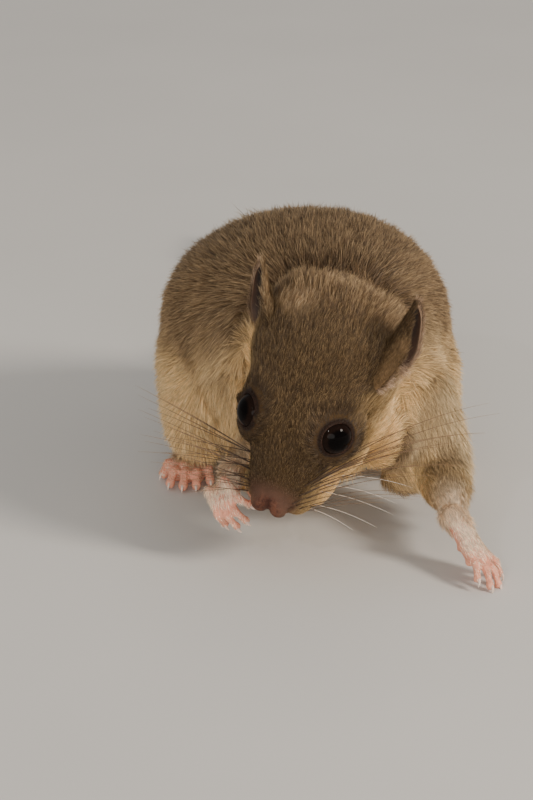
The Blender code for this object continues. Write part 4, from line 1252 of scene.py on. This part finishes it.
def make_tufts(name, roots, joints, surface, seed, every=10, pull=0.23):
    """One joined mesh of thin tapered tufts with the given number of bends."""
    draw = np.random.default_rng(seed)
    point, normal = roots["point"], unit(roots["normal"])
    count = len(point)
    way = along_skin(roots["way"], normal)
    across = np.cross(way, normal)
    length = roots["length"] * draw.uniform(0.72, 1.18, count)
    turn = draw.normal(0, 0.17, count) + 0.12 * waves(point, 6.0, 31)
    way = turned(way, across, turn)
    lift = np.radians(roots["lift"]) * (1 + 0.28 * draw.normal(0, 1, count))
    lift = lift + 0.06 * waves(point, 4.0, 32)
    start = turned(way, normal, lift + TUFT_BEND)
    end = turned(way, normal, np.maximum(lift - TUFT_BEND, -0.12))
    base = point - normal * ROOT_SUNK
    tip = base + length[:, None] * (start + end) / 2
    tip = clumped(tip, base, draw, every, pull)
    middle = base + (tip - base) * 0.5 + (start - end) * length[:, None] * 0.125
    roll = draw.uniform(-0.9, 0.9, count)
    flat = unit(np.cross(tip - base, normal))
    flat = turned(flat, unit(np.cross(tip - base, flat)), roll)
    half = (roots["width"] * draw.uniform(0.7, 1.25, count) / 2)[:, None]
    bulge = 2 * middle - (base + tip) / 2
    rows, along = [], []
    for k in range(joints + 1):
        t = k / (joints + 1)
        place = base * (1 - t) ** 2 + bulge * 2 * t * (1 - t) + tip * t * t
        wide = half * (1.0 if k else 0.8) * (1 - 0.35 * t)
        rows += [place - flat * wide, place + flat * wide]
        along += [t, t]
    rows.append(tip)
    along.append(1.0)
    each = len(rows)
    points = np.stack(rows, 1).reshape(-1, 3)
    points[:, 2] = np.maximum(points[:, 2], HAIR_LOW)
    # Quads between the joints and a triangle at the tip
    quads = [(2 * k, 2 * k + 1, 2 * k + 3, 2 * k + 2) for k in range(joints)]
    corners = np.array([*sum(quads, ()), each - 3, each - 2, each - 1])
    loops = ((np.arange(count) * each)[:, None] + corners).ravel()
    sizes = np.tile([4] * joints + [3], count)
    mesh = bpy.data.meshes.new(name)
    mesh.vertices.add(len(points))
    mesh.vertices.foreach_set("co", stored(points))
    mesh.loops.add(len(loops))
    mesh.loops.foreach_set("vertex_index", loops.astype(np.int32))
    mesh.polygons.add(len(sizes))
    mesh.polygons.foreach_set("loop_start", (np.cumsum(sizes) - sizes).astype(np.int32))
    mesh.polygons.foreach_set("loop_total", sizes.astype(np.int32))
    mesh.update(calc_edges=True)
    # Colours for the surface, and the patch of the unwrap on which each tuft lies
    for key in ("colour", "tips"):
        paint(mesh, key, np.repeat(roots[key], each, axis=0))
    paint(mesh, "along", np.tile(along, count))
    # Pale fur is pale down to its root
    light = np.clip((roots["colour"].mean(1) - 0.25) / 0.4, 0, 1)
    paint(mesh, "shade", np.repeat(1 - 0.85 * light, each))
    paint(mesh, "chance", np.repeat(draw.random(count), each))
    shape = [((-0.5, 0.5)[i % 2], t - 0.5) for i, t in enumerate(along[:-1])] + [(0, 0.5)]
    patch = roots["uv"][:, None, :] + np.array(shape) * UV_PATCH
    uv = np.clip(patch.reshape(-1, 2)[loops], 0, 1)
    mesh.uv_layers.new(name="OFBake").data.foreach_set("uv", uv.astype(np.float32).ravel())
    dress(linked(name, mesh), surface, "fur")


# Materials


class Surface:
    """A procedural material, put together node by node."""

    def __init__(self, name):
        self.made = bpy.data.materials.new(name)
        self.made.use_nodes = True
        self.nodes, self.links = self.made.node_tree.nodes, self.made.node_tree.links
        self.nodes.clear()
        output = self.nodes.new("ShaderNodeOutputMaterial")
        self.shader = self.nodes.new("ShaderNodeBsdfPrincipled")
        self.links.new(self.shader.outputs["BSDF"], output.inputs["Surface"])

    def attribute(self, name, kind="Fac"):
        """A number or a colour stored on the mesh's points."""
        node = self.nodes.new("ShaderNodeAttribute")
        node.attribute_name = name
        return node.outputs[kind]

    def texture(self, kind, output, settings):
        """A texture over the object's own coordinates."""
        node = self.nodes.new(kind)
        for key, value in settings.items():
            node.inputs[key].default_value = value
        place = self.nodes.new("ShaderNodeTexCoord")
        self.links.new(place.outputs["Object"], node.inputs["Vector"])
        return node.outputs[output]

    def noise(self, scale, detail=3.0, roughness=0.6):
        settings = {"Scale": scale, "Detail": detail, "Roughness": roughness}
        return self.texture("ShaderNodeTexNoise", "Fac", settings)

    def ramp(self, source, *stops):
        """Greys or colours by a value from 0 to 1."""
        node = self.nodes.new("ShaderNodeValToRGB")
        elements = node.color_ramp.elements
        while len(elements) < len(stops):
            elements.new(0.5)
        for element, (place, value) in zip(elements, stops):
            element.position = place
            element.color = (*(np.ones(3) * value), 1.0)
        self.links.new(source, node.inputs["Fac"])
        return node.outputs["Color"]

    def blend(self, a, b, factor=1.0, kind="MULTIPLY"):
        """Two colours blended by a number, or by a value that varies over the surface."""
        node = self.nodes.new("ShaderNodeMix")
        node.data_type = "RGBA"
        node.blend_type = kind
        if isinstance(factor, float):
            node.inputs[0].default_value = factor
        else:
            self.links.new(factor, node.inputs[0])
        self.links.new(a, node.inputs[6])
        self.links.new(b, node.inputs[7])
        return node.outputs[2]

    def bump(self, height, strength, reach):
        node = self.nodes.new("ShaderNodeBump")
        node.inputs["Strength"].default_value = strength
        node.inputs["Distance"].default_value = reach
        self.links.new(height, node.inputs["Height"])
        self.links.new(node.outputs["Normal"], self.shader.inputs["Normal"])

    def finished(self, sources, settings):
        """The material, with what varies over it linked and the rest set as plain values."""
        for name, source in sources.items():
            self.links.new(source, self.shader.inputs[name])
        for name, value in settings.items():
            self.shader.inputs[name].default_value = value
        return self.made


def coat_material():
    """Fur: dark at the root, its marking in the middle and pale at the tip, each tuft its own."""
    made = Surface("coat")
    along, chance = made.attribute("along"), made.attribute("chance")
    vary = made.ramp(chance, (0.0, 0.6), (0.4, 0.9), (0.75, 1.1), (1.0, 1.4))
    toned = made.blend(made.attribute("colour", "Color"), vary)
    root = made.ramp(along, (0.0, 0.42), (0.35, 0.76), (0.7, 1.0), (1.0, 1.0))
    shaded = made.blend(toned, root, made.attribute("shade"))
    pale = made.ramp(along, (0.0, 0.0), (0.62, 0.0), (0.9, 0.75), (1.0, 0.9))
    some = made.ramp(chance, (0.0, 0.1), (0.4, 0.35), (0.62, 1.0), (1.0, 1.0))
    tipped = made.blend(shaded, made.attribute("tips", "Color"), made.blend(pale, some), "MIX")
    fine = made.noise(900.0, 2.0)
    grain = made.ramp(fine, (0.25, 0.82), (0.75, 1.15))
    gloss = made.ramp(fine, (0.2, 0.50), (0.8, 0.68))
    sources = {"Base Color": made.blend(tipped, grain), "Roughness": gloss}
    return made.finished(sources, {"Specular IOR Level": 0.35})


def thin_skin(specular, radius):
    """The values of skin through which a little light passes."""
    return {
        "Specular IOR Level": specular,
        "Subsurface Weight": 0.12,
        "Subsurface Radius": radius,
        "Subsurface Scale": 1.0,
    }


def skin_material():
    """Skin with the coat's markings, bare and pink at nose, soles, toes and lips."""
    made = Surface("skin")
    tone = made.ramp(made.noise(420.0, 4.0), (0.3, 0.80), (0.7, 1.12))
    rough = made.ramp(made.attribute("wet"), (0.0, 0.72), (1.0, 0.42))
    pores = made.texture("ShaderNodeTexVoronoi", "Distance", {"Scale": 2100.0})
    height = made.blend(made.noise(2600.0, 3.0, 0.7), pores, made.attribute("bare"), "MIX")
    made.bump(height, 0.8, 0.0003)
    colour = made.blend(made.attribute("colour", "Color"), tone)
    sources = {"Base Color": colour, "Roughness": rough}
    return made.finished(sources, thin_skin(0.14, (0.0016, 0.0006, 0.0004)))


def eye_material():
    """Near-black brown eye: a darker pupil in a deep brown iris, under a clear wet surface."""
    made = Surface("eye")
    iris = made.ramp(made.attribute("from_axis"), *EYE_STOPS)
    grain = made.ramp(made.noise(1800.0), (0.3, 0.75), (0.7, 1.25))
    settings = {"Roughness": 0.04, "IOR": 1.34, "Specular IOR Level": 0.09}
    return made.finished({"Base Color": made.blend(iris, grain)}, settings)


def ear_material():
    """The thin skin of the ear: brown outside, dark inside with painted shade in the cup, and paler
    at the rim with a painted highlight.
    """
    made = Surface("ear_skin")
    tone = made.ramp(made.noise(500.0, 4.0), (0.3, 0.75), (0.7, 1.15))
    fine = made.noise(2400.0, 3.0, 0.7)
    rough = made.ramp(fine, (0.3, 0.5), (0.7, 0.66))
    made.bump(fine, 0.3, 0.0001)
    colour = made.blend(made.attribute("colour", "Color"), tone)
    sources = {"Base Color": colour, "Roughness": rough}
    return made.finished(sources, thin_skin(0.25, (0.0022, 0.0008, 0.0005)))


def horn_material(name):
    """Claws and whiskers: a colour that runs from root to tip, with fine streaks."""
    root, tip, scale, roughness = HORN[name]
    made = Surface(name)
    fine = made.noise(scale)
    run = made.ramp(made.attribute("along"), (0.0, root), (0.55, (root + tip) / 2), (1.0, tip))
    grain = made.ramp(fine, (0.3, 0.8), (0.7, 1.15))
    gloss = made.ramp(fine, (0.2, roughness - 0.05), (0.8, roughness + 0.1))
    return made.finished({"Base Color": made.blend(run, grain), "Roughness": gloss}, {})


def floor_material():
    """A plain pale studio floor with a barely visible grain."""
    made = Surface("studio_floor")
    tone = made.ramp(made.noise(6.0), (0.3, (0.60, 0.585, 0.56)), (0.7, (0.64, 0.625, 0.60)))
    rough = made.ramp(made.noise(900.0, 2.0), (0.3, 0.72), (0.7, 0.85))
    return made.finished({"Base Color": tone, "Roughness": rough}, {})


# Pieces


def finish_skin(skin):
    """Colours the skin, unwraps it and lets it stand for the solids of flesh."""
    mesh = skin.data
    points, edges = points_of(mesh), edges_of(mesh)
    weights = region_weights(points, edges, 8)
    # The tail's own coat starts along a ragged line at the rump
    tail = ramp(points[:, 1] + 1.5 * waves(points, 6.0, 14), *TAIL_START)
    weights = weights * (1 - tail)[:, None]
    weights[:, REGIONS.index("tail")] = tail
    weights = weights / np.maximum(weights.sum(1), 1e-6)[:, None]
    normals = unit(spread(normals_of(mesh), edges, 6))
    colour, tips, masks = markings(points, normals, weights)
    share = shares(weights)
    head, feet = share["head"], share["forefoot"] + share["hindfoot"]
    rim, half = masks["rim"], masks["half"]
    nose = head * ramp(-masks["nose"], -3.5, -2.3)
    lid = head * ramp(-rim, -1.0, -0.4)
    lips = head * ramp(-masks["lips"], -1.0, -0.4)
    moist = head * ramp(-rim, -0.02, 0.15)
    mottled = ramp(waves(points, 1.3, 17) + 0.6 * waves(points, 0.6, 18), -0.3, 0.9)
    # Painted shade in the recesses: the groove between the nose's lobes and the nostrils
    cleft_shade = nose * np.exp(-((distance_to_line(half, GROOVE) / 0.9) ** 2))
    nostril_shade = head * np.exp(-((distance_to_line(half, NOSTRIL) / 0.7) ** 2))
    # Painted shade: the skin under the coat is the coat's colour at 0.62, for the shade deep in the
    # fur
    shown = colour * 0.62
    for over, part in (
        # Round the eyes, where the fur is short, the skin gets less painted shade
        (colour * 0.95, head * ramp(-rim, -4.5, -1.5)),
        (PINK_SKIN, np.clip(feet * 1.4, 0, 1)),
        (LID_DARK, lid),
        (LID_EDGE, moist * 0.6),
        (LIP, lips * 0.8),
        (mix(NOSE_SKIN, NOSE_DARK, mottled * 0.75), nose),
        (NOSTRIL_SHADE, cleft_shade * 0.7),
        (NOSTRIL_SHADE, np.clip(nostril_shade * 1.2, 0, 1)),
    ):
        shown = mix(shown, over, part)
    paint(mesh, "colour", np.clip(shown, 0, 1))
    paint(mesh, "bare", np.clip(nose + np.clip(feet, 0, 1) + lid + lips, 0, 1))
    paint(mesh, "wet", np.clip(nose * 0.6 + moist, 0, 1))
    unwrap(skin)
    flesh = [n for n in frame["nodes"] if not n.startswith(("eye", "ear"))]
    dress(skin, skin_material(), "fur", *flesh)
    length, width, density, lift = coat_fields(points, normals, weights, masks)
    return {
        "point": points,
        "normal": normals,
        "way": lie_of_coat(points, normals, weights, edges),
        "length": length,
        "width": width,
        "lift": lift,
        "colour": colour,
        "tips": tips,
        "tail": share["tail"],
    }, density


def unwrap(obj):
    """Unwraps the mesh's own shape into a map named OFBake."""
    obj.data.uv_layers.new(name="OFBake")
    view = bpy.context.view_layer
    for other in view.objects:
        other.select_set(False)
    obj.select_set(True)
    view.objects.active = obj
    bpy.ops.object.mode_set(mode="EDIT")
    bpy.ops.mesh.select_all(action="SELECT")
    bpy.ops.uv.smart_project(angle_limit=math.radians(70), island_margin=0.002)
    bpy.ops.object.mode_set(mode="OBJECT")


def coat_share():
    return 1.0


def grow_coat(skin, fields, density):
    """The coat in pieces that each stay under the triangle limit."""
    surface = coat_material()
    roots = sample_roots(skin.data, fields, density, coat_share(), SEED)
    roots["width"] = roots["width"] * 1.0
    tail = roots["tail"] > 0.5
    total = 0
    # The tail's tufts have two bends and the others one
    for name, chosen, joints in (("coat_tail", tail, 2), ("coat", ~tail, 1)):
        index = np.flatnonzero(chosen)
        # Pieces follow one another from the nose to the rump
        index = index[np.argsort(roots["point"][index, 1], kind="stable")]
        each = 2 * joints + 1
        pieces = max(1, math.ceil(len(index) * each / PIECE_TRIANGLES))
        for k, part in enumerate(np.array_split(index, pieces)):
            own = {key: value[part] for key, value in roots.items()}
            make_tufts(f"{name}_{k + 1}", own, joints, surface, SEED + 10 * k + joints)
            total += len(part) * each
    print("coat", len(tail), "tufts", total, "triangles")


def make_eyes():
    surface = eye_material()
    for label, side in SIDES:
        points, faces = ellipsoid((0, 0, 0), (EYE_RADIUS,) * 3, segments=64, rings=48)
        centre, axis = (np.array(part) for part in eye_frame(side))
        points = aimed(points, axis)
        # The clear front of the eye bulges a little
        facing = points @ axis / EYE_RADIUS
        points = points * (1 + EYE_BULGE * ramp(facing, 0.55, 1.0))[:, None]
        obj = to_object(f"eyeball_{label}", from_head(points + centre), faces)
        paint(obj.data, "from_axis", np.arccos(np.clip(facing, -1, 1)) / IRIS_END)
        dress(obj, surface, "eye", f"eye_{label}")


def make_ears():
    """The folded pinnae: furred outside, and dark inside with painted shade in the cup. The left one
    has a pale rim, a painted highlight, and a pale notch.
    """
    surface, fur = ear_material(), coat_material()
    for label, side in SIDES:
        left = side > 0
        points, faces, shares_there = ear_sheet(side)
        obj = to_object(f"pinna_{label}", from_head(points), faces)
        paint(obj.data, "share_u", shares_there[:, 0])
        paint(obj.data, "share_v", shares_there[:, 1])
        obj.data.update()
        applied(obj, "SOLIDIFY", thickness=EAR_THICKNESS * MM, offset=0.0, use_rim=True)
        applied(obj, "SUBSURF", levels=1)
        mesh = obj.data
        u, v = (read(mesh.attributes[key].data, "value") for key in ("share_u", "share_v"))
        points, normals = points_of(mesh), normals_of(mesh)
        root, axis, opening, _ = (head_matrix @ np.array(part) for part in ear_frame(side))
        middle = root + head_origin + np.outer(u * (EARS[side]["length"] + EAR_SUNK), axis)
        inward = unit(middle + 2.2 * opening - points)
        inside = ramp((normals * inward).sum(1), -0.1, 0.25)
        patch = 0.12 * waves(points, 4.0, 21)
        colour = mix(HEAD_BROWN, EAR_BACK, ramp(v + patch, -0.2, -0.8))
        warm = (1 - inside) * ramp(v, 0.3, 0.7)
        if left:
            warm = warm * ramp(-u + patch, -0.8, -0.3) * 0.6
        else:
            warm = warm * ramp(u + patch, 0.2, 0.6) * 0.5
        colour = mix(colour, EAR_WARM, warm * (0.75 + 0.25 * waves(points, 1.6, 22)))
        # Inside the fold: the ear's own dark brown skin, with painted shade deep in the cup
        colour = mix(colour, mix(EAR_CUP_SHADE, EAR_INSIDE, ramp(-v, 0.6, 0.95) * 0.5), inside)
        # Painted highlight: the rim of the lower wall and the tip is pale where light catches the
        # edge, fully on the left ear and mostly towards the tip on the right one
        edge = ramp(np.maximum(np.abs(v), u), 0.92, 0.985)
        light = 1.0 if left else 0.25 + 0.75 * ramp(u, 0.6, 0.9)
        pale = edge * ramp(-v, -0.2, 0.4) * light
        colour = mix(colour, EAR_RIM_HIGHLIGHT, pale * 0.6)
        paint(mesh, "colour", colour)
        unwrap(obj)
        dress(obj, surface, "ear", f"ear_{label}")
        # Pale hairs at the left ear's notch, and a fringe on the right ear's upper wall
        notch = inside * ramp(-u, -0.36, -0.18) * (1.0 if left else 0.0)
        fringe = ramp(v, 0.55, 0.95) * (1 - inside) * (0.0 if left else 1.0)
        hair = mix(colour * 0.9, EAR_HAIR, np.clip(notch * 0.7 + pale * 0.5, 0, 1))
        ends = mix(hair * 1.3, HEAD_TIP, 0.6 * (1 - inside))
        way = np.tile(axis, (len(points), 1)) + 0.2 * normals
        fields = {
            "point": points,
            "normal": normals,
            "way": way + notch[:, None] * (1.6 * opening - 1.2 * axis),
            "length": 1.9 - 1.1 * inside + 1.7 * notch + 0.3 * edge + 1.3 * fringe,
            "width": np.full(len(points), EAR_HAIR_WIDTH),
            "lift": 15 + 8 * edge + 10 * notch + 10 * fringe,
            "colour": np.clip(hair, 0, 1),
            "tips": np.clip(mix(ends, CREAM_TIP, 0.6 * fringe), 0, 1),
        }
        density = EAR_DENSITY * (1 - 0.7 * inside * (1 - notch))
        roots = sample_roots(mesh, fields, density, coat_share(), SEED + side)
        make_tufts(f"coat_ear_{label}", roots, 1, fur, SEED + 40 + side, every=8, pull=0.3)


def horn_piece(name, bodies, sides, surface, slot):
    """Tubes as one mesh, each with its share from root to tip."""
    points, faces = joined(bodies)
    obj = to_object(name, points, faces)
    along = [np.linspace(0, 1, len(p) // sides).repeat(sides) for p, _ in bodies]
    paint(obj.data, "along", np.concatenate(along))
    dress(obj, surface, slot)


def make_claws(places):
    """All the claws in one mesh: each a small cone that curves down."""
    pieces = []
    for root, way, down in places:
        line, radii = [], []
        for k in range(6):
            t = k / 5
            bend = way * (CLAW_LENGTH * t * (1 - 0.25 * t)) + down * (0.75 * CLAW_LENGTH * t * t)
            line.append(root - way * 0.4 + bend)
            radii.append(CLAW_RADIUS * (1 - t) ** 0.7 + CLAW_TIP)
        points, faces = tube(line, radii, sides=10, steps=2)
        points[:, 2] = np.maximum(points[:, 2], SKIN_LOW)
        pieces.append((points, faces))
    horn_piece("claws", pieces, 10, horn_material("claw"), "foot")


def whisker_set(draw):
    """Whisker lines: points, root radius and whether pale. Rows of them spring from each pad."""
    made = []
    for side, rows in WHISKER_ROWS.items():
        for high, reach, rise, pale in rows:
            for column in range(5):
                lower, back = draw.normal(0, 0.4), draw.normal(0, 0.35)
                root = (side * (5.0 + 0.5 * column), -31.2 + column * 1.7 + back, high + lower)
                root = from_head([root])[0]
                length = reach * (0.62 + 0.095 * column) * draw.uniform(0.84, 1.06)
                slope = rise + 0.035 * column + draw.normal(0, 0.05)
                out = np.array([side, 0.12 * (column - 2) + draw.normal(0, 0.08), slope])
                out /= np.linalg.norm(out)
                droop = np.array([0, 0.20, -0.52 if side > 0 else -0.2]) + draw.normal(0, 0.05, 3)
                line = []
                for k in range(9):
                    t = k / 8
                    line.append(root + out * length * t + droop * length * 0.5 * t * t)
                made.append((np.array(line), 0.05 if pale else 0.072 + 0.005 * column, pale))
    return made


def make_whiskers(skin):
    """Dark whiskers, and pale ones below, as thin tapered tubes rooted in the skin."""
    draw = np.random.default_rng(SEED)
    faces = [tuple(f.vertices) for f in skin.data.polygons]
    tree = BVHTree.FromPolygons([Vector(p) for p in points_of(skin.data)], faces)
    groups = {"dark": [], "pale": []}
    for line, radius, pale in whisker_set(draw):
        near = tree.find_nearest(Vector(line[0]))[0]
        line = line + (np.array(near) - line[0]) * np.linspace(1, 0.2, len(line))[:, None]
        line[:, 0] = np.clip(line[:, 0], *WHISKER_REACH)
        line[:, 2] = np.maximum(line[:, 2], WHISKER_LOW)
        radii = radius * (1 - np.linspace(0, 1, len(line))) ** 0.7 + WHISKER_TIP
        body = tube(line, radii, sides=6, steps=3, round_ends=False)
        groups["pale" if pale else "dark"].append(body)
    for kind, pieces in groups.items():
        horn_piece(f"whiskers_{kind}", pieces, 6, horn_material(f"whisker_{kind}"), "fur")


# Studio


def make_studio():
    mesh = bpy.data.meshes.new("floor")
    corners = [(x * FLOOR_REACH, y * FLOOR_REACH, 0) for x, y in ((-1, -1), (1, -1), (1, 1), (-1, 1))]
    mesh.from_pydata(corners, [], [(0, 1, 2, 3)])
    mesh.materials.append(floor_material())
    linked("floor", mesh)
    world = bpy.data.worlds.new("studio")
    world.use_nodes = True
    background = world.node_tree.nodes["Background"]
    background.inputs["Color"].default_value = WORLD_COLOUR
    background.inputs["Strength"].default_value = WORLD_STRENGTH
    bpy.context.scene.world = world
    aim = (CAMERA_AIM + Vector(FRAME_SHIFT)) * MM
    for name, place, power, size, colour in LIGHTS:
        light = bpy.data.lights.new(name, "AREA")
        light.energy = power
        light.shape = "ELLIPSE"
        light.size, light.size_y = size
        light.color = colour
        holder = linked(name, light)
        holder.location = aim + Vector(place)
        holder.rotation_euler = (-Vector(place)).to_track_quat("-Z", "Y").to_euler()


def make_camera():
    tilt = math.radians(CAMERA_TILT)
    view = Vector((0, math.cos(tilt), -math.sin(tilt)))
    camera = bpy.data.cameras.new("camera")
    camera.sensor_fit = "VERTICAL"
    camera.sensor_height = SENSOR_HEIGHT
    camera.lens = CAMERA_LENS
    camera.clip_start = 0.01
    holder = linked("camera", camera)
    holder.location = (CAMERA_AIM - view * CAMERA_DISTANCE + Vector(FRAME_SHIFT)) * MM
    holder.rotation_euler = view.to_track_quat("-Z", "Y").to_euler()
    bpy.context.scene.camera = holder


make_camera()
skin, claw_places = make_skin()
fields, density = finish_skin(skin)
grow_coat(skin, fields, density)
make_eyes()
make_ears()
make_claws(claw_places)
make_whiskers(skin)
make_studio()
